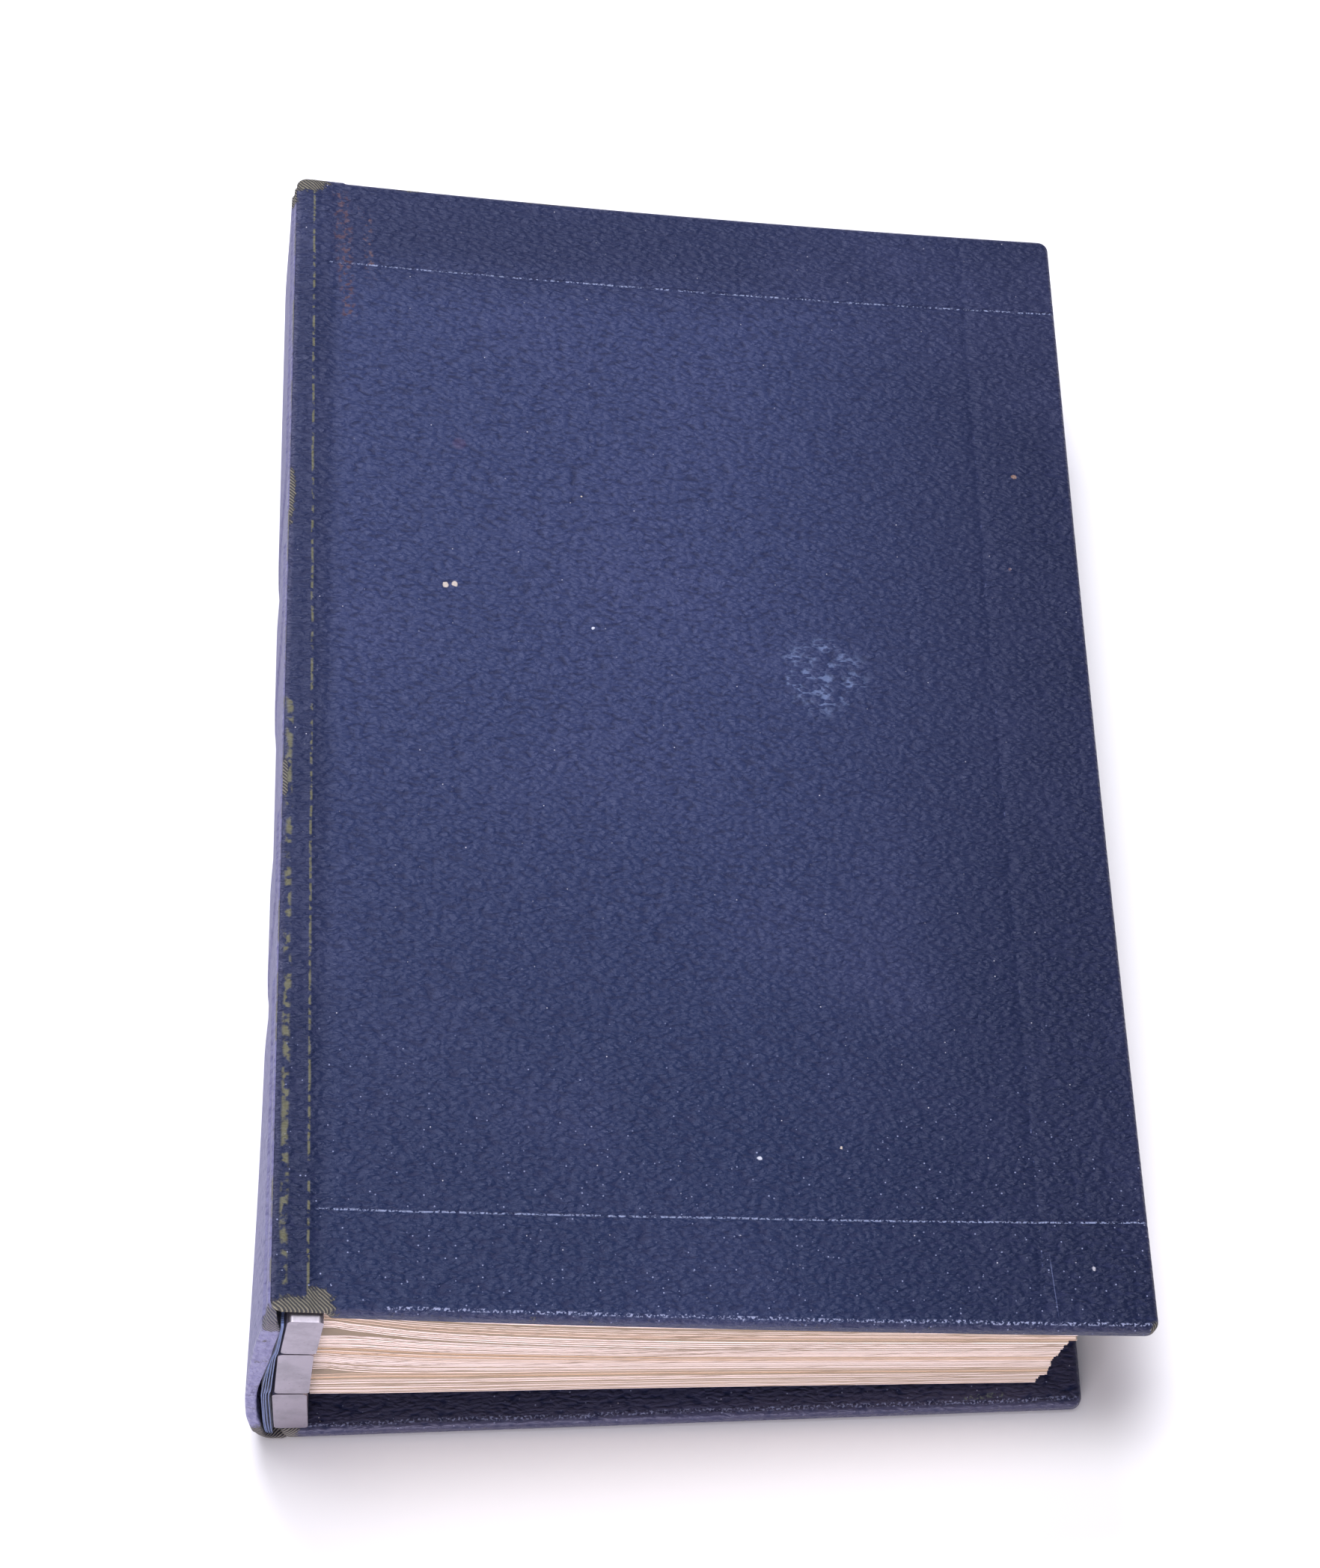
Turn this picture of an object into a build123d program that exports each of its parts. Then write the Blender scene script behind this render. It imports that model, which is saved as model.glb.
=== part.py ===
from build123d import *
import math
import os

os.makedirs("parts", exist_ok=True)

# A loose-leaf stamp album lying closed on its back cover, in millimetres. X runs from the spine to the
# fore-edge, Y from the tail to the head and Z up. Every bar and board is a section in X and Z that runs
# along Y. Album coordinates start at the back cover's tail corner on the spine side.

# --- the case -------------------------------------------------------------------------------------------
COVER_HEIGHT = 300.0          # tail to head
FRONT_WIDTH = 194.2           # spine edge to fore-edge, along the board
BACK_WIDTH = 189.4
FRONT_SPINE_X = 10.85         # the front cover has slipped towards the fore-edge and the head
FRONT_SHIFT_Y = 2.5
FRONT_SPINE_Z = 75.0          # outer surface above the table, at the spine and at the fore-edge
FRONT_FORE_Z = 44.2
FRONT_DIP = 1.7               # how far the front board is dished in its middle
FACET = 16.0                  # longest straight step round the dish
COVER_THICKNESS = 4.2
CLOTH = 0.45                  # leathercloth over the boards
LINING = 0.35                 # inner lining
TURN_IN = 14.0                # leathercloth folded onto the inside of a board
CREASE_AT = 10.0              # fold line, from the spine edge
BOARD_AT = 13.0               # where the stiff board starts
FLEX_THICKNESS = 1.0          # leathercloth and linen at the fold, with no board
GAP = 0.3                     # clearance between pieces that are not a fit

# --- the spine panel --------------------------------------------------------------------------------------
# outer line of the spine, from the back joint up to the front joint: sprung out at the tail, tight elsewhere
SPRUNG_SPINE = [(2.2, 2.0), (0.9, 5.0), (0.5, 12.0), (0.6, 18.0), (2.1, 33.0), (5.9, 56.0), (9.5, 71.5), (10.1, 74.2)]
TIGHT_SPINE = [(2.8, 2.0), (2.5, 5.0), (2.9, 12.0), (3.3, 18.0), (4.8, 33.0), (7.9, 56.0), (9.9, 71.5), (10.3, 74.2)]
SPINE_STATIONS = [0.0, 12.0, 35.0, 75.0, 130.0, 300.0]
SPRUNG_REACH = 130.0          # distance from the tail over which the spine comes back in
SPINE_CLOTH = 0.4
SPINE_CARD = 0.35
SPINE_LINING = 0.2
BAND_RISE = 0.5               # raised panels stand out of the spine
BAND_SPANS = [(0.0, 81.9), (103.8, 124.0), (176.0, 196.2), (218.1, 300.0)]
BAND_SLOPE = 0.6
BACK_ROUND = 3.0              # the leathercloth's bend at the back joint
BACK_JOINT_X = 4.2

# --- the three-bar back ------------------------------------------------------------------------------------
BAR_WIDTH = 7.6
BAR_WALL = 1.2
BAR_INSET = 0.9               # bar ends, in from the back cover's head and tail
BLOCK_LENGTH = 9.0
BLOCK_ROUND = 1.1
TENON_LENGTH = 6.0
BARS = {                      # spine-side bottom corner, lean towards the fore-edge, height
    "bottom": (5.2, 5.1, 4.1, 22.4),
    "middle": (7.4, 28.3, 7.2, 24.4),
    "top": (11.0, 53.3, 9.8, 19.3),
}
POST_COUNT = 4
POST_RADIUS = 1.7
POST_X = 3.6                  # from the bar's back wall face
THREAD_RADIUS = 0.95
SCREW_HEAD_RADIUS = 2.4
SCREW_LENGTH = 7.0
RUNNING = 0.06                # clearance of a post in its hole
STUB_DEPTH = 5.8
FILLER_HEIGHT = 8.0           # packing strips under the stubs in the bottom bar
PLY_COUNT = 4                 # linen plies glued down the back of the bars
PLY_THICKNESS = 0.2
PLY_PITCH = 0.25
PLY_START = 0.2               # glue line between the bar and the first ply

# --- the leaves ----------------------------------------------------------------------------------------------
LEAF_INSET = 5.5              # in from the back cover's head and tail
# lower and upper face of each section of leaves, from the bar's mouth to the fore-edge
LEAVES = {
    "lower": (
        [(15.3, 14.2), (28.0, 13.0), (50.0, 12.0), (100.0, 9.6), (178.0, 4.8)],
        [(15.3, 25.6), (28.0, 25.4), (50.0, 23.4), (100.0, 20.4), (180.0, 13.8)],
    ),
    "middle": (
        [(18.6, 30.0), (28.0, 26.4), (50.0, 23.9), (100.0, 20.8), (180.4, 14.2)],
        [(18.6, 50.8), (28.0, 49.6), (50.0, 43.0), (100.0, 34.0), (182.2, 25.6)],
    ),
    "upper": (
        [(22.0, 55.8), (28.0, 52.4), (50.0, 44.2), (100.0, 34.8), (182.6, 26.2)],
        [(22.0, 66.2), (28.0, 63.4), (50.0, 55.4), (100.0, 46.6), (185.0, 36.8)],
    ),
    "front": (
        [(22.4, 66.7), (28.0, 63.9), (50.0, 55.8), (100.0, 47.0), (185.2, 37.2)],
        [(22.4, 67.7), (28.0, 66.0), (50.0, 59.2), (100.0, 50.4), (185.8, 40.8)],
    ),
}

front_run = math.sqrt(FRONT_WIDTH**2 - (FRONT_SPINE_Z - FRONT_FORE_Z) ** 2)
chord = Vector(front_run, FRONT_FORE_Z - FRONT_SPINE_Z).normalized()
inward = Vector(chord.Y, -chord.X)


def front_point(along, depth):
    """A point of the dished front cover, from the spine edge and below the outer surface."""
    share = along / FRONT_WIDTH
    below = depth + 4 * FRONT_DIP * share * (1 - share)
    return Vector(FRONT_SPINE_X, FRONT_SPINE_Z) + chord * along + inward * below


# The origin is on the table, under the middle of the closed album's footprint.
spine_reach = min(x for x, z in SPRUNG_SPINE) - BAND_RISE
fore_reach = front_point(FRONT_WIDTH, COVER_THICKNESS / 2).X
origin = Vector((spine_reach + fore_reach) / 2, (COVER_HEIGHT + FRONT_SHIFT_Y) / 2)


def save(name, shape):
    """Write one piece, moved so that the origin lies under the middle of the album."""
    solids = [solid.moved(Location((-origin.X, -origin.Y, 0))) for solid in shape.solids()]
    piece = Compound(children=solids) if len(solids) > 1 else solids[0]
    export_step(piece, f"parts/{name}.step")


def outline(*lines):
    """The face inside a closed row of lines."""
    return make_face([edge for line in lines for edge in line.edges()])


def run_along_y(face, start, end):
    """Extrude a section drawn as (x, z) towards the head, from start to end."""
    upright = face.rotate(Axis.X, 90).moved(Location((0, start, 0)))
    return extrude(upright, amount=end - start, dir=(0, 1, 0))


def front_line(start, end, depth):
    """Straight steps along the dished front cover at one depth, bent at the same stations at every depth."""
    bends = [FACET * i for i in range(1, math.ceil(FRONT_WIDTH / FACET))]
    places = [start] + [bend for bend in bends if start + 1 < bend < end - 1] + [end]
    return [front_point(place, depth) for place in places]


def front_section(start, end, outer, inner, nose=0.0, tongue=0.0):
    """A layer of the front cover between two depths, from the spine side to a rounded fore-edge.

    A tongue of that length, as thin as the fold, runs on from the start towards the spine.
    """
    top = Polyline(*front_line(start - tongue, end - nose, outer))
    low = Polyline(*reversed(front_line(start, end - nose, inner)))
    nose_point = front_point(end, (outer + inner) / 2)
    edge = ThreePointArc(top @ 1, nose_point, low @ 0) if nose else Line(top @ 1, low @ 0)
    if not tongue:
        return outline(top, edge, low, Line(low @ 1, top @ 0))
    step = Polyline(low @ 1, front_point(start, FLEX_THICKNESS), front_point(start - tongue, FLEX_THICKNESS), top @ 0)
    return outline(top, edge, low, step)


def offset_points(points, depth):
    """Points moved sideways off a line, to its right-hand side for a positive depth."""
    moved = []
    for i, point in enumerate(points):
        before = Vector(*points[max(i - 1, 0)])
        after = Vector(*points[min(i + 1, len(points) - 1)])
        along = (after - before).normalized()
        moved.append(Vector(*point) + Vector(along.Y, -along.X) * depth)
    return moved


def skin_section(points, outer, inner):
    """A layer that follows a curved line between two depths on its right-hand side."""
    first = Spline(*offset_points(points, outer))
    second = Spline(*reversed(offset_points(points, inner)))
    return outline(first, Line(first @ 1, second @ 0), second, Line(second @ 1, first @ 0))


def spine_line(y, trim=0):
    """The spine's outer line at a distance from the tail, less some points at each end."""
    sprung = max(0.0, 1 - y / SPRUNG_REACH) ** 2
    line = [
        (tight_x + (sprung_x - tight_x) * sprung, z)
        for (sprung_x, z), (tight_x, z) in zip(SPRUNG_SPINE, TIGHT_SPINE)
    ]
    return line[trim:len(line) - trim]


def spine_layer(outer, inner, stations, trim=0):
    """A layer of the spine panel through stations along Y, between an outer depth for each and an inner one."""
    sections = [
        skin_section(spine_line(y, trim), depth, inner).rotate(Axis.X, 90).moved(Location((0, y, 0)))
        for y, depth in zip(stations, outer)
    ]
    return loft(sections, ruled=True)


def spine_sheet(outer, inner, margin):
    """A plain layer of the spine panel, short of its head and tail by a margin, inside the turned-in ends."""
    stations = [margin] + SPINE_STATIONS[1:-1] + [COVER_HEIGHT - margin]
    return spine_layer([outer] * len(stations), inner, stations, 1)


def leaf_section(low_points, top_points):
    """The side view of one section of leaves."""
    low = Spline(*low_points)
    top = Spline(*reversed(top_points))
    return outline(low, Line(low @ 1, top @ 0), top, Line(top @ 1, low @ 0))


def placed_bar(bar, shape):
    """Stand a piece drawn in a bar's own axes at the bar's place and lean."""
    x, z, lean, height = BARS[bar]
    return shape.moved(Location((x, 0, z), (0, lean, 0)))


def post_places():
    """Distances of the posts from the tail."""
    step = COVER_HEIGHT / POST_COUNT
    return [step * (i + 0.5) for i in range(POST_COUNT)]


def upright_rod(y, radius, low, high):
    """A round rod along a bar's own Z, on the post line."""
    return Pos(POST_X, y, (low + high) / 2) * Cylinder(radius, high - low)


# --- front cover ---------------------------------------------------------------------------------------------
front_tail = FRONT_SHIFT_Y
front_head = COVER_HEIGHT + FRONT_SHIFT_Y
board_profile = front_section(BOARD_AT, FRONT_WIDTH - CLOTH, CLOTH, COVER_THICKNESS - LINING, 1.2)
front_board = run_along_y(board_profile, front_tail + CLOTH, front_head - CLOTH)
save("front_board", front_board)

wrap_start = BOARD_AT - CLOTH
tongue_length = wrap_start - CREASE_AT - GAP
wrap_profile = front_section(wrap_start, FRONT_WIDTH, 0, COVER_THICKNESS, 1.5, tongue_length)
window_start = COVER_THICKNESS / 2
window_profile = front_section(BOARD_AT + 1, FRONT_WIDTH - TURN_IN, window_start, COVER_THICKNESS + 1)
front_covering = run_along_y(wrap_profile, front_tail, front_head)
front_covering -= front_board
front_window = run_along_y(window_profile, front_tail + TURN_IN, front_head - TURN_IN)
front_covering -= front_window
save("front_covering", front_covering)

sheet_profile = front_section(
    BOARD_AT + 1.2, FRONT_WIDTH - TURN_IN - 0.2, COVER_THICKNESS - LINING + 0.05, COVER_THICKNESS
)
save("front_lining", run_along_y(sheet_profile, front_tail + TURN_IN + 0.2, front_head - TURN_IN - 0.2))

# --- hinge strip over the top bar --------------------------------------------------------------------------
strip_profile = front_section(1.0, CREASE_AT - GAP, 0, FLEX_THICKNESS)
save("front_hinge_strip", run_along_y(strip_profile, front_tail, front_head))

# --- back cover ----------------------------------------------------------------------------------------------
back_board_box = [(8.0, CLOTH), (BACK_WIDTH - CLOTH, CLOTH)]
back_board_box += [(BACK_WIDTH - CLOTH, COVER_THICKNESS - LINING), (8.0, COVER_THICKNESS - LINING)]
back_board = run_along_y(outline(Polyline(*back_board_box, close=True)), CLOTH, COVER_HEIGHT - CLOTH)
save("back_board", back_board)

round_start = (BACK_JOINT_X + BACK_ROUND, 0)
round_middle = (BACK_JOINT_X + BACK_ROUND * (1 - math.sqrt(0.5)), BACK_ROUND * (1 - math.sqrt(0.5)))
round_line = ThreePointArc(round_start, round_middle, (BACK_JOINT_X, BACK_ROUND))
inner_round = Polyline(round_line @ 1, (BACK_JOINT_X + 1, COVER_THICKNESS), (60, COVER_THICKNESS))
nose_low = BACK_WIDTH - 1.5
fore_edge = ThreePointArc((nose_low, COVER_THICKNESS), (BACK_WIDTH, COVER_THICKNESS / 2), (nose_low, 0))
back_outline = outline(
    round_line,
    inner_round,
    Line(inner_round @ 1, fore_edge @ 0),
    fore_edge,
    Line(fore_edge @ 1, round_line @ 0),
)
back_covering = run_along_y(back_outline, 0, COVER_HEIGHT)
back_covering -= back_board
back_window = Pos(BACK_WIDTH / 2 + 2, COVER_HEIGHT / 2, COVER_THICKNESS) * Box(
    BACK_WIDTH - TURN_IN - 18, COVER_HEIGHT - 2 * TURN_IN, COVER_THICKNESS
)
back_covering -= back_window
save("back_covering", back_covering)
back_lining = Pos(BACK_WIDTH / 2 + 2, COVER_HEIGHT / 2, COVER_THICKNESS - LINING / 2) * Box(
    BACK_WIDTH - TURN_IN - 18.4, COVER_HEIGHT - 2 * TURN_IN - 0.4, LINING - 0.04
)
save("back_lining", back_lining)

# --- spine panel ---------------------------------------------------------------------------------------------
panel_depths = {y: -BAND_RISE for span in BAND_SPANS for y in span}
for low, high in zip(BAND_SPANS, BAND_SPANS[1:]):
    panel_depths[low[1] + BAND_SLOPE] = 0.0
    panel_depths[high[0] - BAND_SLOPE] = 0.0
for y in SPINE_STATIONS:
    raised = any(low <= y <= high for low, high in BAND_SPANS)
    panel_depths[y] = -BAND_RISE if raised else 0.0
panel_stations = sorted(panel_depths)
save("spine_covering", spine_layer([panel_depths[y] for y in panel_stations], SPINE_CLOTH, panel_stations))
card_at = SPINE_CLOTH + 0.12
save("spine_card", spine_sheet(card_at, card_at + SPINE_CARD, 4.0))
lining_at = card_at + SPINE_CARD + 0.05
save("spine_lining", spine_sheet(lining_at, lining_at + SPINE_LINING, 1.0))

# --- bars, end blocks, posts, screws, stubs and linen plies ---------------------------------------------
bar_tail = BAR_INSET
bar_head = COVER_HEIGHT - BAR_INSET
for bar, (bar_x, bar_z, bar_lean, bar_height) in BARS.items():
    inner_height = bar_height - 2 * BAR_WALL
    channel = [
        (0, 0), (BAR_WIDTH, 0), (BAR_WIDTH, BAR_WALL), (BAR_WALL, BAR_WALL),
        (BAR_WALL, bar_height - BAR_WALL), (BAR_WIDTH, bar_height - BAR_WALL),
        (BAR_WIDTH, bar_height), (0, bar_height),
    ]
    rail_face = outline(Polyline(*channel, close=True))
    rail = run_along_y(rail_face, bar_tail + BLOCK_LENGTH + 0.05, bar_head - BLOCK_LENGTH - 0.05)
    posts = []
    screws = []
    for y in post_places():
        rail -= upright_rod(y, POST_RADIUS + RUNNING, -1, BAR_WALL + 1)
        countersink = Pos(POST_X, y, bar_height - BAR_WALL / 2) * Cone(
            THREAD_RADIUS + RUNNING, SCREW_HEAD_RADIUS + RUNNING, BAR_WALL + 0.01
        )
        rail -= countersink
        post = upright_rod(y, POST_RADIUS, 0, bar_height - BAR_WALL - 0.05)
        bore_low = bar_height - SCREW_LENGTH - 0.5
        post -= upright_rod(y, THREAD_RADIUS + RUNNING, bore_low, bar_height)
        posts.append(placed_bar(bar, post))
        head = Pos(POST_X, y, bar_height - BAR_WALL / 2) * Cone(THREAD_RADIUS, SCREW_HEAD_RADIUS, BAR_WALL)
        shank = upright_rod(y, THREAD_RADIUS, bar_height - SCREW_LENGTH, bar_height - BAR_WALL + 0.01)
        slot = Pos(POST_X, y, bar_height) * Box(0.6, 2 * SCREW_HEAD_RADIUS + 1, 0.7)
        screws.append(placed_bar(bar, head + shank - slot))
    save(f"{bar}_bar_channel", placed_bar(bar, rail))
    save(f"{bar}_bar_posts", Compound(children=posts))
    save(f"{bar}_bar_screws", Compound(children=screws))

    blocks = []
    for y_low, tenon_low in (
        (bar_tail, bar_tail + BLOCK_LENGTH - 0.01),
        (bar_head - BLOCK_LENGTH, bar_head - BLOCK_LENGTH - TENON_LENGTH + 0.01),
    ):
        block = Pos(BAR_WIDTH / 2, y_low + BLOCK_LENGTH / 2, bar_height / 2) * Box(
            BAR_WIDTH, BLOCK_LENGTH, bar_height
        )
        block = fillet(block.edges().filter_by(Axis.Y), BLOCK_ROUND)
        tenon = Pos(BAR_WALL + 2.6, tenon_low + TENON_LENGTH / 2, bar_height / 2) * Box(
            4.8, TENON_LENGTH, inner_height - 0.2
        )
        blocks.append(placed_bar(bar, block + tenon))
    save(f"{bar}_bar_end_blocks", Compound(children=blocks))

    stub_low = BAR_WALL + 0.15
    stub_tail = bar_tail + BLOCK_LENGTH + TENON_LENGTH + 0.5
    stub_head = bar_head - BLOCK_LENGTH - TENON_LENGTH - 0.5
    if bar == "bottom":
        filler = Pos(BAR_WALL + 0.2 + STUB_DEPTH / 2, COVER_HEIGHT / 2, stub_low + FILLER_HEIGHT / 2) * Box(
            STUB_DEPTH, stub_head - stub_tail, FILLER_HEIGHT
        )
        for y in post_places():
            filler -= upright_rod(y, POST_RADIUS + 0.2, 0, bar_height)
        save("bottom_bar_packing_strips", placed_bar(bar, filler))
        stub_low += FILLER_HEIGHT + 0.05
    stub_high = bar_height - BAR_WALL - 0.15
    stubs = Pos(BAR_WALL + 0.2 + STUB_DEPTH / 2, COVER_HEIGHT / 2, (stub_low + stub_high) / 2) * Box(
        STUB_DEPTH, stub_head - stub_tail, stub_high - stub_low
    )
    for y in post_places():
        stubs -= upright_rod(y, POST_RADIUS + 0.2, 0, bar_height)
    save(f"{bar}_leaf_stubs", placed_bar(bar, stubs))

    plies = []
    for i in range(PLY_COUNT):
        x = -PLY_START - PLY_PITCH * i - PLY_THICKNESS / 2
        ply_low = 0.2 if bar == "bottom" else 0.6
        ply_high = bar_height - (1.2 if bar == "top" else 0.6)
        plies.append(placed_bar(bar, Pos(x, COVER_HEIGHT / 2, (ply_low + ply_high) / 2) * Box(
            PLY_THICKNESS, COVER_HEIGHT - 2 * BAR_INSET, ply_high - ply_low
        )))
    save(f"{bar}_linen_plies", Compound(children=plies))

# --- leaves --------------------------------------------------------------------------------------------------
for section, (low_points, top_points) in LEAVES.items():
    block = run_along_y(leaf_section(low_points, top_points), LEAF_INSET, COVER_HEIGHT - LEAF_INSET)
    save(f"{section}_leaves", block)
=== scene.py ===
"""The looks of a loose-leaf stamp album in navy leathercloth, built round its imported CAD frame."""
import logging
import math
from abc import ABC, abstractmethod
from dataclasses import dataclass
from enum import Enum
from typing import Any, Callable, Sequence

import bpy
import numpy as np
from mathutils import Matrix, Vector


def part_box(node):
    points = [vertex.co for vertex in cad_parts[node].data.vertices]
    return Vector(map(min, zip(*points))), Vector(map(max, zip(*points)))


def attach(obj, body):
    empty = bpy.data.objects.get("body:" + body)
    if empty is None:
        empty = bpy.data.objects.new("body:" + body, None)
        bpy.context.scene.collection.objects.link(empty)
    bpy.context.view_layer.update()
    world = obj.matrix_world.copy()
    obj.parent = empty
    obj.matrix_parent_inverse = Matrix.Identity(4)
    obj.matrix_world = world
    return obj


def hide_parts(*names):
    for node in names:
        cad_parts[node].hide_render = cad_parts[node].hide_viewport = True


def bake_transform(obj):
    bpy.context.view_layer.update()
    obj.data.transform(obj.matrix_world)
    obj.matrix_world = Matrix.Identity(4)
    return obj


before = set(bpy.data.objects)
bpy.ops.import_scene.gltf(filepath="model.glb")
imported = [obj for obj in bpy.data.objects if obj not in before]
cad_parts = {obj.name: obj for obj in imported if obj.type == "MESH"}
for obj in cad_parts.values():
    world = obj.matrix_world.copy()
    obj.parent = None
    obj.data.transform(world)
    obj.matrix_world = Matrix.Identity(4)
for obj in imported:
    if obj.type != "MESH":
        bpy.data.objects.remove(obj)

log = logging.getLogger("stamp_album")

MM = 0.001
HALF_HEIGHT = 150.0    # half the album's height, in millimetres from the tail
SEED = 41
MATH = "ShaderNodeMath"
MIX = "ShaderNodeMix"
NOISE = "ShaderNodeTexNoise"
CELLS = "ShaderNodeTexVoronoi"
RANGE = "ShaderNodeMapRange"
VECTOR = "ShaderNodeVectorMath"
BUMP = "ShaderNodeBump"
PRINCIPLED = "ShaderNodeBsdfPrincipled"
COLOUR_MIX = {"data_type": "RGBA"}
SMOOTH = {"interpolation_type": "SMOOTHSTEP"}    # a mask from its 1: value to its 2: value, in either order
TIMES = {"operation": "MULTIPLY", "use_clamp": True}
PLUS = {"operation": "ADD", "use_clamp": True}
LARGER = {"operation": "MAXIMUM", "use_clamp": True}
COLOUR_FACTOR, COLOUR_A, COLOUR_B, COLOUR_OUT = 0, 6, 7, 2

Array = np.ndarray
Point = tuple[float, float]


def linear(code: str) -> tuple[float, float, float, float]:
    """Turn an sRGB hex colour into linear light.

    Args:
        code: Six hex digits after a #.

    Returns:
        Linear red, green and blue, and an alpha of one.
    """
    channels = [int(code[i:i + 2], 16) / 255 for i in (1, 3, 5)]
    red, green, blue = [c / 12.92 if c <= 0.04045 else ((c + 0.055) / 1.055) ** 2.4 for c in channels]
    return red, green, blue, 1.0


def add_node(
    tree: bpy.types.NodeTree,
    kind: str,
    settings: dict[str, Any] | None = None,
    inputs: dict[str | int, Any] | None = None,
    output: str | int = 0,
) -> bpy.types.NodeSocket:
    """Add one node with its settings and links.

    Args:
        tree: The material's node tree.
        kind: The node's type name.
        settings: Properties of the node.
        inputs: Sockets by name or number, each given a value or another node's output.
        output: The output wanted.

    Returns:
        The chosen output socket.
    """
    node = tree.nodes.new(kind)
    for key, value in (settings or {}).items():
        setattr(node, key, value)
    for key, value in (inputs or {}).items():
        if isinstance(value, bpy.types.NodeSocket):
            tree.links.new(value, node.inputs[key])
        else:
            node.inputs[key].default_value = value
    return node.outputs[output]


def per_metre(size_mm: float) -> float:
    """A texture scale that repeats once in so many millimetres."""
    return 1 / (size_mm * MM)


# --- finishes -------------------------------------------------------------------------------------------


@dataclass(frozen=True)
class Finish(ABC):
    """A surface as its maker left it, and what use did to it since."""

    name: str

    @abstractmethod
    def surface(self, tree: bpy.types.NodeTree) -> bpy.types.NodeSocket:
        """Lay out the nodes and return the shader's output."""

    def material(self) -> bpy.types.Material:
        """The material, made once and shared after that."""
        made = bpy.data.materials.get(self.name)
        if made is None:
            made = bpy.data.materials.new(self.name)
            made.use_nodes = True
            made.node_tree.nodes.clear()
            end = made.node_tree.nodes.new("ShaderNodeOutputMaterial")
            made.node_tree.links.new(self.surface(made.node_tree), end.inputs["Surface"])
        return made


def rest_place(tree: bpy.types.NodeTree) -> bpy.types.NodeSocket:
    """Each point's place on the flat, unbent piece, in metres, so that patterns don't slide."""
    return add_node(tree, "ShaderNodeAttribute", {"attribute_name": "rest"}, output="Vector")


@dataclass(frozen=True)
class Spot:
    """A round mark on the leathercloth, in millimetres from the tail corner on the spine side."""

    along: float
    across: float
    radius: float
    colour: str
    strength: float = 1.0


@dataclass(frozen=True)
class Scuff:
    """A patch worn through to the cloth: its middle and half sizes in millimetres."""

    along: float
    across: float
    half_along: float
    half_across: float
    strength: float = 1.0


@dataclass(frozen=True)
class WearAndHighlightLine:
    """A line straight between two ends: a crack or tooling in the leathercloth's coat, and on some lines a
    painted highlight.
    """

    start: Point
    end: Point
    half_width: float
    colour: str
    dash_mm: float
    cover: float


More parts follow.
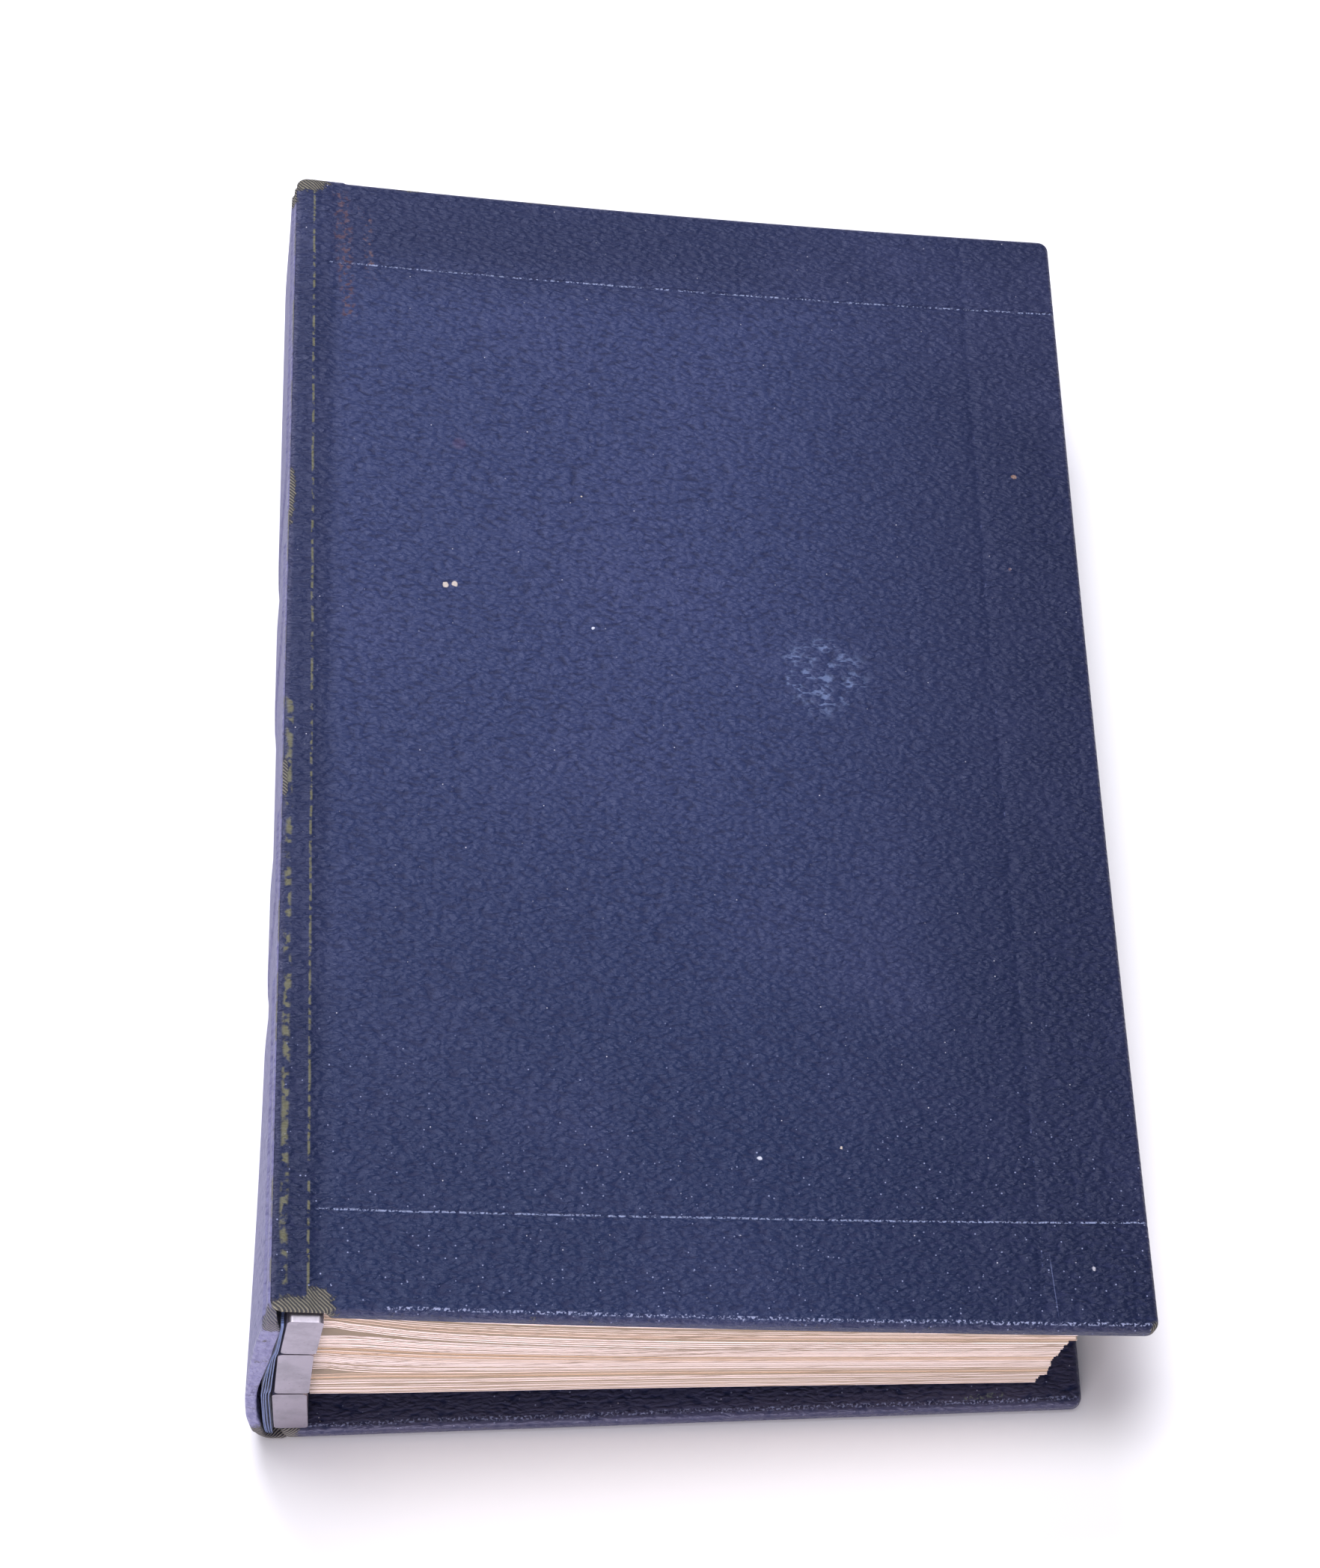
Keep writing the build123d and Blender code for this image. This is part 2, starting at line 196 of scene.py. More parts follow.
@dataclass(frozen=True)
class PebbledLeathercloth(Finish):
    """Leathercloth: woven cotton under a coat of nitrocellulose, embossed with a pebble grain and dyed navy.

    The coat gives a satin gloss that breaks up on every pebble, valleys darkened with painted shade,
    and an olive-brown twill wherever it has worn away.
    """

    coat: str = "#283155"
    coat_low: str = "#192444"
    coat_shade: str = "#0a112c"        # painted shade towards the fore-edge and over the dulled bands
    # painted shade in the grain's valleys
    valley_shade: str = "#151c3c"
    bloom: str = "#3c4066"
    rim_rub_and_light: str = "#4a4962"           # rims: partly worn dye, partly painted light on the lit rim faces
    rim_tint_share: float = 0.25
    twill: str = "#8f8a7c"
    pebble_mm: float = 1.0
    grain_mm: float = 0.5
    thread_mm: float = 0.7            # coarser than the real thread, which would be too fine to show
    pebble_rise: float = 0.55
    roughness: float = 0.40
    rim_wear: float = 0.12
    low_below: float = 120.0          # the tone deepens from here towards the tail: partly the cloth's own tone, partly painted shade where the lamps' sheen falls off
    dark_from: float = 95.0           # and from here towards the fore-edge
    spots: tuple[Spot, ...] = ()
    scuffs: tuple[Scuff, ...] = ()
    lines: tuple[WearAndHighlightLine, ...] = ()
    crackle: Spot | None = None
    # dulled: bands darkened over the fold, above the head line and along the fore-edge, as painted shade
    dulled: tuple[tuple[int, float, float], ...] = ()
    # pale specks: partly dirt specks and partly painted sparkle
    dust_and_sparkle: float = 0.85
    glint_spread: float = 0.0              # how thick the painted glints lie away from the tail

    def pebbles(self, tree: bpy.types.NodeTree, place: bpy.types.NodeSocket) -> bpy.types.NodeSocket:
        """Height of the embossed grain, from zero in the valleys to one.

        Args:
            tree: The material's node tree.
            place: Where each point lies on the flat piece.

        Returns:
            The height's socket.
        """
        drift = add_node(tree, NOISE, {"noise_dimensions": "3D"}, {
            "Vector": place, "Scale": per_metre(4.0), "Detail": 2.0}, "Color")
        centred = add_node(tree, VECTOR, {"operation": "SUBTRACT"}, {0: drift, 1: (0.5, 0.5, 0.5)})
        scaled = add_node(tree, VECTOR, {"operation": "SCALE"}, {0: centred, "Scale": 1.6 * MM})
        moved = add_node(tree, VECTOR, {"operation": "ADD"}, {0: place, 1: scaled})
        longer = add_node(tree, VECTOR, {"operation": "MULTIPLY"}, {0: moved, 1: (0.5, 1.2, 1.0)})
        domes = add_node(tree, CELLS, {"feature": "SMOOTH_F1"}, {
            "Vector": longer, "Scale": per_metre(self.pebble_mm), "Smoothness": 0.35, "Randomness": 1.0})
        crowns = add_node(tree, RANGE, SMOOTH, {0: domes, 1: 0.80, 2: 0.10})
        uneven = add_node(tree, NOISE, {}, {
            "Vector": longer, "Scale": per_metre(1.45), "Detail": 4.0, "Roughness": 0.6})
        fine = add_node(tree, NOISE, {}, {
            "Vector": longer, "Scale": per_metre(self.grain_mm), "Detail": 2.0})
        rolling = add_node(tree, RANGE, SMOOTH, {0: uneven, 1: 0.25, 2: 0.75})
        broad = add_node(tree, MATH, PLUS, {0: add_node(tree, MATH, TIMES, {0: crowns, 1: 0.42}),
            1: add_node(tree, MATH, TIMES, {0: rolling, 1: 0.42})})
        return add_node(tree, MATH, PLUS, {0: broad, 1: add_node(tree, MATH, TIMES, {0: fine, 1: 0.16})})

    def line_mask(
        self, tree: bpy.types.NodeTree, along: bpy.types.NodeSocket, across: bpy.types.NodeSocket,
        place: bpy.types.NodeSocket, line: WearAndHighlightLine,
    ) -> bpy.types.NodeSocket:
        """Where a line shows: worn, tooled, or painted as a highlight.

        Args:
            tree: The material's node tree.
            along: Distance from the spine edge, in metres.
            across: Distance from the tail, in metres.
            place: Where each point lies on the flat piece.
            line: The line.

        Returns:
            The mask's socket.
        """
        (a0, c0), (a1, c1) = line.start, line.end
        upright = abs(c1 - c0) > abs(a1 - a0)
        run, off = (across, along) if upright else (along, across)
        run0, off0, run1, off1 = (c0, a0, c1, a1) if upright else (a0, c0, a1, c1)
        slope = (off1 - off0) / (run1 - run0)
        expected = add_node(tree, MATH, {"operation": "MULTIPLY_ADD"}, {
            0: run, 1: slope, 2: (off0 - slope * run0) * MM})
        gap = add_node(tree, MATH, {"operation": "SUBTRACT"}, {0: off, 1: expected})
        wander = add_node(tree, NOISE, {}, {"Vector": place, "Scale": per_metre(14.0), "Detail": 3.0})
        shifted = add_node(tree, MATH, {"operation": "MULTIPLY_ADD"}, {
            0: wander, 1: 1.6 * line.half_width * MM, 2: gap})
        centred = add_node(tree, MATH, {"operation": "SUBTRACT"}, {
            0: shifted, 1: 0.8 * line.half_width * MM})
        away = add_node(tree, MATH, {"operation": "ABSOLUTE"}, {0: centred})
        near = add_node(tree, RANGE, SMOOTH, {
            0: away, 1: line.half_width * MM, 2: 0.35 * line.half_width * MM})
        dashes = add_node(tree, NOISE, {}, {
            "Vector": place, "Scale": per_metre(line.dash_mm), "Detail": 4.0})
        broken = add_node(tree, RANGE, SMOOTH, {
            0: dashes, 1: 0.62 - 0.3 * line.cover, 2: 0.72 - 0.3 * line.cover})
        low, high = min(run0, run1), max(run0, run1)
        low_end = add_node(tree, RANGE, SMOOTH, {0: run, 1: (low - 0.5) * MM, 2: (low + 0.5) * MM})
        high_end = add_node(tree, RANGE, SMOOTH, {0: run, 1: (high + 0.5) * MM, 2: (high - 0.5) * MM})
        shown = add_node(tree, MATH, TIMES, {0: near, 1: broken})
        between = add_node(tree, MATH, TIMES, {0: low_end, 1: high_end})
        return add_node(tree, MATH, TIMES, {0: shown, 1: between})

    def spot_mask(
        self, tree: bpy.types.NodeTree, ragged: bpy.types.NodeSocket, spot: Spot
    ) -> bpy.types.NodeSocket:
        """A round mask with a slightly ragged rim."""
        flat = add_node(tree, VECTOR, {"operation": "MULTIPLY"}, {0: ragged, 1: (1.0, 1.0, 0.0)})
        middle = (spot.along * MM, spot.across * MM, 0.0)
        away = add_node(tree, VECTOR, {"operation": "DISTANCE"}, {0: flat, 1: middle}, "Value")
        inside = add_node(tree, RANGE, SMOOTH, {0: away, 1: spot.radius * MM, 2: 0.6 * spot.radius * MM})
        return add_node(tree, MATH, TIMES, {0: inside, 1: spot.strength})

    def surface(self, tree: bpy.types.NodeTree) -> bpy.types.NodeSocket:
        """Coat, grain, marks and wear, with painted shade and painted glints, laid one over another."""
        place = rest_place(tree)
        split = add_node(tree, "ShaderNodeSeparateXYZ", {}, {0: place})
        along, across = split, split.node.outputs["Y"]
        height = self.pebbles(tree, place)
        cloudy = add_node(tree, NOISE, {}, {"Vector": place, "Scale": per_metre(60.0), "Detail": 4.0})
        # Darker towards the tail: partly the cloth's own tone and partly painted shade.
        towards_tail = add_node(tree, RANGE, SMOOTH, {
            0: across, 1: (self.low_below + 60) * MM, 2: (self.low_below - 100) * MM})
        tone = add_node(tree, MIX, COLOUR_MIX, {
            COLOUR_FACTOR: towards_tail, COLOUR_A: linear(self.coat), COLOUR_B: linear(self.coat_low)},
            COLOUR_OUT)
        # Painted shade: darker towards the fore-edge and over the dulled bands.
        towards_fore_edge = add_node(tree, RANGE, SMOOTH, {
            0: along, 1: self.dark_from * MM, 2: (self.dark_from + 110) * MM})
        painted_shade = add_node(tree, MATH, TIMES, {0: towards_fore_edge, 1: 0.8})
        for value, zero_at, one_at in self.dulled:
            edge = add_node(tree, RANGE, SMOOTH, {
                0: (along, across)[value], 1: zero_at * MM, 2: one_at * MM})
            edge = add_node(tree, MATH, TIMES, {0: edge, 1: 0.55})
            painted_shade = add_node(tree, MATH, LARGER, {0: painted_shade, 1: edge})
        tone = add_node(tree, MIX, COLOUR_MIX, {
            COLOUR_FACTOR: painted_shade, COLOUR_A: tone, COLOUR_B: linear(self.coat_shade)}, COLOUR_OUT)
        hazy = add_node(tree, RANGE, SMOOTH, {0: cloudy, 1: 0.42, 2: 0.75})
        hazy = add_node(tree, MATH, TIMES, {0: hazy, 1: 0.25})
        tone = add_node(tree, MIX, COLOUR_MIX, {
            COLOUR_FACTOR: hazy, COLOUR_A: tone, COLOUR_B: linear(self.bloom)}, COLOUR_OUT)
        # Painted shade: the grain's valleys are darkened in the colour.
        colour = add_node(tree, MIX, COLOUR_MIX, {
            COLOUR_FACTOR: add_node(tree, RANGE, SMOOTH, {0: height, 1: 0.10, 2: 0.46}),
            COLOUR_A: linear(self.valley_shade), COLOUR_B: tone}, COLOUR_OUT)

        fine = add_node(tree, NOISE, {}, {"Vector": place, "Scale": per_metre(1.1), "Detail": 3.0}, "Color")
        shake = add_node(tree, VECTOR, {"operation": "SCALE"}, {0: fine, "Scale": 0.9 * MM})
        nudged = add_node(tree, VECTOR, {"operation": "ADD"}, {0: place, 1: shake})
        ragged = add_node(tree, VECTOR, {"operation": "SUBTRACT"},
            {0: nudged, 1: (0.45 * MM, 0.45 * MM, 0.0)})
        for spot in self.spots:
            colour = add_node(tree, MIX, COLOUR_MIX, {
                COLOUR_FACTOR: self.spot_mask(tree, ragged, spot), COLOUR_A: colour,
                COLOUR_B: linear(spot.colour)}, COLOUR_OUT)
        if self.crackle:
            patch = self.spot_mask(tree, place, self.crackle)
            hollows = add_node(tree, RANGE, SMOOTH, {0: height, 1: 0.52, 2: 0.30})
            seams = add_node(tree, MATH, TIMES, {0: patch, 1: hollows})
            crazed = add_node(tree, NOISE, {}, {"Vector": place, "Scale": per_metre(3.5), "Detail": 3.0})
            crazed = add_node(tree, RANGE, SMOOTH, {0: crazed, 1: 0.42, 2: 0.62})
            colour = add_node(tree, MIX, COLOUR_MIX, {
                COLOUR_FACTOR: add_node(tree, MATH, TIMES, {0: seams, 1: crazed}), COLOUR_A: colour,
                COLOUR_B: linear(self.crackle.colour)}, COLOUR_OUT)
        for line in self.lines:
            shown = self.line_mask(tree, along, across, place, line)
            colour = add_node(tree, MIX, COLOUR_MIX, {
                COLOUR_FACTOR: shown, COLOUR_A: colour, COLOUR_B: linear(line.colour)}, COLOUR_OUT)

        # Pale specks: partly dirt specks and partly painted sparkle on the grain.
        speck_cells = add_node(tree, CELLS, {"feature": "F1"}, {"Vector": place, "Scale": per_metre(2.6)})
        few = add_node(tree, "ShaderNodeSeparateColor", {}, {0: speck_cells.node.outputs["Color"]})
        small = add_node(tree, RANGE, SMOOTH, {0: speck_cells, 1: 0.075, 2: 0.04})
        few = add_node(tree, RANGE, SMOOTH, {0: few, 1: 0.72, 2: 0.98})
        specks = add_node(tree, MATH, TIMES, {0: small, 1: few})
        colour = add_node(tree, MIX, COLOUR_MIX, {
            COLOUR_FACTOR: add_node(tree, MATH, TIMES, {0: specks, 1: self.dust_and_sparkle}), COLOUR_A: colour,
            COLOUR_B: linear("#b9b7c4")}, COLOUR_OUT)

        # Painted glints: pale points standing in for the lamps' sparkle on the grain, thickest near the tail.
        glint_cells = add_node(tree, CELLS, {"feature": "F1"}, {"Vector": place, "Scale": per_metre(1.15)})
        drawn = add_node(tree, "ShaderNodeSeparateColor", {}, {0: glint_cells.node.outputs["Color"]})
        near_tail = add_node(tree, RANGE, SMOOTH, {0: across, 1: 110 * MM, 2: 8 * MM})
        gathered = add_node(tree, MATH, LARGER, {0: near_tail, 1: self.glint_spread})
        gathered = add_node(tree, MATH, TIMES, {0: gathered, 1: 0.25})
        odds = add_node(tree, MATH, PLUS, {0: gathered, 1: 0.75})
        share = add_node(tree, MATH, TIMES, {0: drawn, 1: odds})
        small = add_node(tree, RANGE, SMOOTH, {0: glint_cells, 1: 0.20, 2: 0.12})
        shown = add_node(tree, RANGE, SMOOTH, {0: share, 1: 0.74, 2: 0.90})
        glints = add_node(tree, MATH, TIMES, {0: small, 1: shown})
        colour = add_node(tree, MIX, COLOUR_MIX, {
            COLOUR_FACTOR: add_node(tree, MATH, TIMES, {0: glints, 1: 0.7}), COLOUR_A: colour,
            COLOUR_B: linear("#8f96b8")}, COLOUR_OUT)

        # Lighter rims: partly worn dye and partly painted light on the lit rim faces.
        rim_rub_and_light = add_node(tree, "ShaderNodeAttribute", {"attribute_name": "wear"}, output="Fac")
        rim_light_and_polish = add_node(tree, RANGE, SMOOTH, {0: rim_rub_and_light, 1: 0.5, 2: 1.0})
        colour = add_node(tree, MIX, COLOUR_MIX, {
            COLOUR_FACTOR: add_node(tree, MATH, TIMES, {0: rim_light_and_polish, 1: self.rim_tint_share}), COLOUR_A: colour,
            COLOUR_B: linear(self.rim_rub_and_light)}, COLOUR_OUT)
        patchy = add_node(tree, NOISE, {}, {
            "Vector": place, "Scale": per_metre(3.0), "Detail": 6.0, "Roughness": 0.75})
        bare = add_node(tree, RANGE, SMOOTH, {
            0: add_node(tree, MATH, TIMES, {0: rim_rub_and_light, 1: patchy}),
            1: 0.62 - 0.3 * self.rim_wear, 2: 0.78 - 0.3 * self.rim_wear})
        for scuff in self.scuffs:
            offset = add_node(tree, VECTOR, {"operation": "SUBTRACT"}, {
                0: ragged, 1: (scuff.along * MM, scuff.across * MM, 0.0)})
            scale = (1 / (scuff.half_along * MM), 1 / (scuff.half_across * MM), 0.0)
            shares = add_node(tree, VECTOR, {"operation": "MULTIPLY"}, {0: offset, 1: scale})
            away = add_node(tree, VECTOR, {"operation": "LENGTH"}, {0: shares}, "Value")
            eaten = add_node(tree, MATH, {"operation": "MULTIPLY_ADD"}, {0: patchy, 1: 2.2, 2: away})
            worn = add_node(tree, RANGE, SMOOTH, {0: eaten, 1: 2.18, 2: 1.98})
            worn = add_node(tree, MATH, TIMES, {0: worn, 1: scuff.strength})
            bare = add_node(tree, MATH, LARGER, {0: bare, 1: worn})
        weave = add_node(tree, "ShaderNodeTexWave", {"wave_type": "BANDS", "bands_direction": "DIAGONAL"}, {
            "Vector": place, "Scale": per_metre(self.thread_mm) / 2, "Distortion": 1.5, "Detail": 2.0})
        threads = add_node(tree, MIX, COLOUR_MIX, {
            COLOUR_FACTOR: weave, COLOUR_A: linear("#3f4045"), COLOUR_B: linear(self.twill)}, COLOUR_OUT)
        colour = add_node(tree, MIX, COLOUR_MIX, {
            COLOUR_FACTOR: bare, COLOUR_A: colour, COLOUR_B: threads}, COLOUR_OUT)

        relief = add_node(tree, MIX, {"data_type": "FLOAT"}, {0: bare, 2: height, 3: weave})
        normal = add_node(tree, BUMP, {}, {"Strength": 1.0, "Distance": self.pebble_rise * MM,
            "Height": relief}, "Normal")
        gloss = add_node(tree, RANGE, {}, {
            "Value": height, "From Min": 0.0, "From Max": 1.0,
            "To Min": self.roughness + 0.18, "To Max": self.roughness - 0.02})
        slick = add_node(tree, MATH, {"operation": "MULTIPLY_ADD"}, {0: rim_light_and_polish, 1: -0.13, 2: gloss})
        rough = add_node(tree, MIX, {"data_type": "FLOAT"}, {0: bare, 2: slick, 3: 0.9})
        return add_node(tree, PRINCIPLED, {}, {
            "Base Color": colour, "Roughness": rough, "IOR": 1.5, "Specular IOR Level": 0.34,
            "Specular Tint": linear("#cdd0ea"), "Normal": normal})


@dataclass(frozen=True)
class LiningPaper(Finish):
    """Lining: calendered paper dyed dark navy and pasted inside the boards, nearly smooth, with pale lint."""

    base: str = "#14162a"
    lint: str = "#7d7c8c"

    def surface(self, tree: bpy.types.NodeTree) -> bpy.types.NodeSocket:
        """A dark, even sheet with clouds and specks."""
        place = rest_place(tree)
        clouds = add_node(tree, NOISE, {}, {"Vector": place, "Scale": per_metre(18.0), "Detail": 5.0})
        tone = add_node(tree, MIX, COLOUR_MIX, {
            COLOUR_FACTOR: clouds, COLOUR_A: linear(self.base), COLOUR_B: linear("#1f2240")}, COLOUR_OUT)
        speck_cells = add_node(tree, CELLS, {}, {"Vector": place, "Scale": per_metre(2.4)})
        few = add_node(tree, "ShaderNodeSeparateColor", {}, {0: speck_cells.node.outputs["Color"]})
        small = add_node(tree, RANGE, SMOOTH, {0: speck_cells, 1: 0.12, 2: 0.05})
        few = add_node(tree, RANGE, SMOOTH, {0: few, 1: 0.55, 2: 0.9})
        specks = add_node(tree, MATH, TIMES, {0: small, 1: few})
        colour = add_node(tree, MIX, COLOUR_MIX, {
            COLOUR_FACTOR: add_node(tree, MATH, TIMES, {0: specks, 1: 0.8}), COLOUR_A: tone,
            COLOUR_B: linear(self.lint)}, COLOUR_OUT)
        tooth = add_node(tree, NOISE, {}, {"Vector": place, "Scale": per_metre(0.7), "Detail": 3.0})
        normal = add_node(tree, BUMP, {}, {"Strength": 0.6, "Distance": 0.05 * MM, "Height": tooth},
            "Normal")
        return add_node(tree, PRINCIPLED, {}, {
            "Base Color": colour, "Roughness": 0.56, "IOR": 1.5, "Normal": normal})


@dataclass(frozen=True)
class WovenLinen(Finish):
    """Linen tape: plain-woven flax, dyed in the yarn, with a soft sheen and a regular over-and-under bump."""

    base: str = "#6f86bd"
    shade: str = "#43527c"
    thread_mm: float = 0.8            # coarser than the real thread, which would be too fine to show

    def surface(self, tree: bpy.types.NodeTree) -> bpy.types.NodeSocket:
        """Two sets of threads crossing."""
        place = rest_place(tree)
        settings = {"wave_type": "BANDS", "wave_profile": "SIN"}
        scale = per_metre(self.thread_mm) / 2
        threads = [
            add_node(tree, "ShaderNodeTexWave", {**settings, "bands_direction": way}, {
                "Vector": place, "Scale": scale, "Distortion": 1.0, "Detail": 2.0, "Detail Scale": 2.0})
            for way in ("X", "Y")
        ]
        height = add_node(tree, MATH, LARGER, {0: threads[0], 1: threads[1]})
        slubs = add_node(tree, NOISE, {}, {"Vector": place, "Scale": per_metre(3.0), "Detail": 4.0})
        lit = add_node(tree, MATH, TIMES, {0: height, 1: slubs})
        colour = add_node(tree, MIX, COLOUR_MIX, {
            COLOUR_FACTOR: add_node(tree, RANGE, SMOOTH, {0: lit, 1: 0.1, 2: 0.6}),
            COLOUR_A: linear(self.shade),
            COLOUR_B: linear(self.base)}, COLOUR_OUT)
        normal = add_node(tree, BUMP, {}, {"Strength": 0.8, "Distance": 0.08 * MM, "Height": height},
            "Normal")
        return add_node(tree, PRINCIPLED, {}, {
            "Base Color": colour, "Roughness": 0.75, "IOR": 1.5, "Sheen Weight": 0.3, "Normal": normal})


@dataclass(frozen=True)
class LeafEdges(Finish):
    """Album paper's cut edges: guillotined cartridge paper, cream toned to tan, with dark streaks: partly
    dirt and partly painted shade in the gaps between leaves.
    """

    cream: str = "#f4e3e2"
    tan: str = "#cda583"
    soil_and_gap_shade: str = "#6d5340"

    def surface(self, tree: bpy.types.NodeTree) -> bpy.types.NodeSocket:
        """Each leaf has its own tone, with dark streaks along it: partly dirt and partly painted shade of the
        gaps.
        """
        place = rest_place(tree)
        tone = add_node(tree, "ShaderNodeAttribute", {"attribute_name": "tone"}, output="Fac")
        stretched = add_node(tree, VECTOR, {"operation": "MULTIPLY"}, {0: place, 1: (0.02, 0.02, 2.5)})
        streaks = add_node(tree, NOISE, {}, {"Vector": stretched, "Scale": per_metre(1.4), "Detail": 3.0})
        colour = add_node(tree, MIX, COLOUR_MIX, {
            COLOUR_FACTOR: tone, COLOUR_A: linear(self.cream), COLOUR_B: linear(self.tan)}, COLOUR_OUT)
        # Dark streaks: partly dirt and partly painted shade of the gaps between leaves.
        gap_shade_and_soil = add_node(tree, RANGE, SMOOTH, {0: streaks, 1: 0.54, 2: 0.64})
        gap_shade_and_soil = add_node(tree, MATH, TIMES, {0: gap_shade_and_soil, 1: 0.72})
        colour = add_node(tree, MIX, COLOUR_MIX, {
            COLOUR_FACTOR: gap_shade_and_soil, COLOUR_A: colour, COLOUR_B: linear(self.soil_and_gap_shade)}, COLOUR_OUT)
        normal = add_node(tree, BUMP, {}, {"Strength": 0.5, "Distance": 0.05 * MM, "Height": streaks},
            "Normal")
        return add_node(tree, PRINCIPLED, {}, {
            "Base Color": colour, "Roughness": 0.85, "IOR": 1.5, "Normal": normal})


@dataclass(frozen=True)
class LeafFace(Finish):
    """Album paper's face: matt cartridge paper, printed with a faint ruled grid."""

    paper: str = "#eaddcd"
    rule: str = "#c3bcb8"
    square_mm: float = 5.0
    margin_mm: float = 20.0
    leaf_height: float = 300.0
    guard_edge: float = 22.0
    fore_margin: float = 172.0

    def surface(self, tree: bpy.types.NodeTree) -> bpy.types.NodeSocket:
        """Paper with a grid of thin printed lines."""
        place = rest_place(tree)
        fibres = add_node(tree, NOISE, {}, {"Vector": place, "Scale": per_metre(9.0), "Detail": 6.0})
        colour = add_node(tree, MIX, COLOUR_MIX, {
            COLOUR_FACTOR: add_node(tree, MATH, TIMES, {0: fibres, 1: 0.5}), COLOUR_A: linear(self.paper),
            COLOUR_B: linear("#d9c6b0")}, COLOUR_OUT)
        flat = add_node(tree, VECTOR, {"operation": "MULTIPLY"}, {0: place, 1: (1.0, 1.0, 0.0)})
        grid = add_node(tree, "ShaderNodeTexBrick", {"offset": 0.0, "squash": 1.0}, {
            "Vector": flat, "Scale": 1.0, "Color1": (0.0, 0.0, 0.0, 1.0), "Color2": (0.0, 0.0, 0.0, 1.0),
            "Mortar": (1.0, 1.0, 1.0, 1.0), "Mortar Size": 0.12 * MM, "Brick Width": self.square_mm * MM,
            "Row Height": self.square_mm * MM}, "Fac")
        split = add_node(tree, "ShaderNodeSeparateXYZ", {}, {0: place})
        across, along = split.node.outputs["Y"], split
        ruled = (
            (across, self.margin_mm, self.leaf_height - self.margin_mm),
            (along, self.guard_edge + self.margin_mm, self.fore_margin),
        )
        for value, low, high in ruled:
            for outside, inside in ((low, low + 0.1), (high + 0.1, high)):
                shown = add_node(tree, RANGE, SMOOTH, {0: value, 1: outside * MM, 2: inside * MM})
                grid = add_node(tree, MATH, TIMES, {0: grid, 1: shown})
        colour = add_node(tree, MIX, COLOUR_MIX, {
            COLOUR_FACTOR: add_node(tree, MATH, TIMES, {0: grid, 1: 0.6}), COLOUR_A: colour,
            COLOUR_B: linear(self.rule)}, COLOUR_OUT)
        normal = add_node(tree, BUMP, {}, {"Strength": 0.3, "Distance": 0.05 * MM, "Height": fibres},
            "Normal")
        return add_node(tree, PRINCIPLED, {}, {
            "Base Color": colour, "Roughness": 0.88, "IOR": 1.5, "Normal": normal})


@dataclass(frozen=True)
class DulledAluminium(Finish):
    """Aluminium bars: drawn and sawn, unpolished, dulled by handling, with fine scratches and grey smears."""

    base: str = "#b9b6bf"
    smear: str = "#8d8a93"
    roughness: float = 0.42
    brushed: tuple[float, float, float] = (9.0, 1.0, 9.0)

    def surface(self, tree: bpy.types.NodeTree) -> bpy.types.NodeSocket:
        """Metal with drawn lines, scratches and smears."""
        place = add_node(tree, "ShaderNodeTexCoord", {}, {}, "Object")
        drawn = add_node(tree, VECTOR, {"operation": "MULTIPLY"}, {0: place, 1: self.brushed})
        lines = add_node(tree, NOISE, {}, {"Vector": drawn, "Scale": per_metre(2.5), "Detail": 4.0})
        smears = add_node(tree, NOISE, {}, {"Vector": place, "Scale": per_metre(7.0), "Detail": 5.0,
            "Roughness": 0.65})
        pits = add_node(tree, CELLS, {}, {"Vector": place, "Scale": per_metre(1.8)})
        dull = add_node(tree, RANGE, SMOOTH, {0: smears, 1: 0.4, 2: 0.68})
        colour = add_node(tree, MIX, COLOUR_MIX, {
            COLOUR_FACTOR: add_node(tree, MATH, TIMES, {0: dull, 1: 0.7}), COLOUR_A: linear(self.base),
            COLOUR_B: linear(self.smear)}, COLOUR_OUT)
        dented = add_node(tree, RANGE, SMOOTH, {0: pits, 1: 0.16, 2: 0.05})
        dented = add_node(tree, MATH, TIMES, {0: dented, 1: 0.5})
        colour = add_node(tree, MIX, COLOUR_MIX, {
            COLOUR_FACTOR: dented, COLOUR_A: colour, COLOUR_B: linear("#6d6a72")}, COLOUR_OUT)
        relief = add_node(tree, MATH, PLUS, {0: add_node(tree, MATH, TIMES, {0: lines, 1: 0.5}),
            1: add_node(tree, MATH, TIMES, {0: smears, 1: 0.5})})
        normal = add_node(tree, BUMP, {}, {"Strength": 0.5, "Distance": 0.06 * MM, "Height": relief},
            "Normal")
        rough = add_node(tree, RANGE, {}, {
            "Value": smears, "To Min": self.roughness - 0.06, "To Max": self.roughness + 0.2})
        return add_node(tree, PRINCIPLED, {}, {
            "Base Color": colour, "Metallic": 1.0, "Roughness": rough, "Normal": normal})


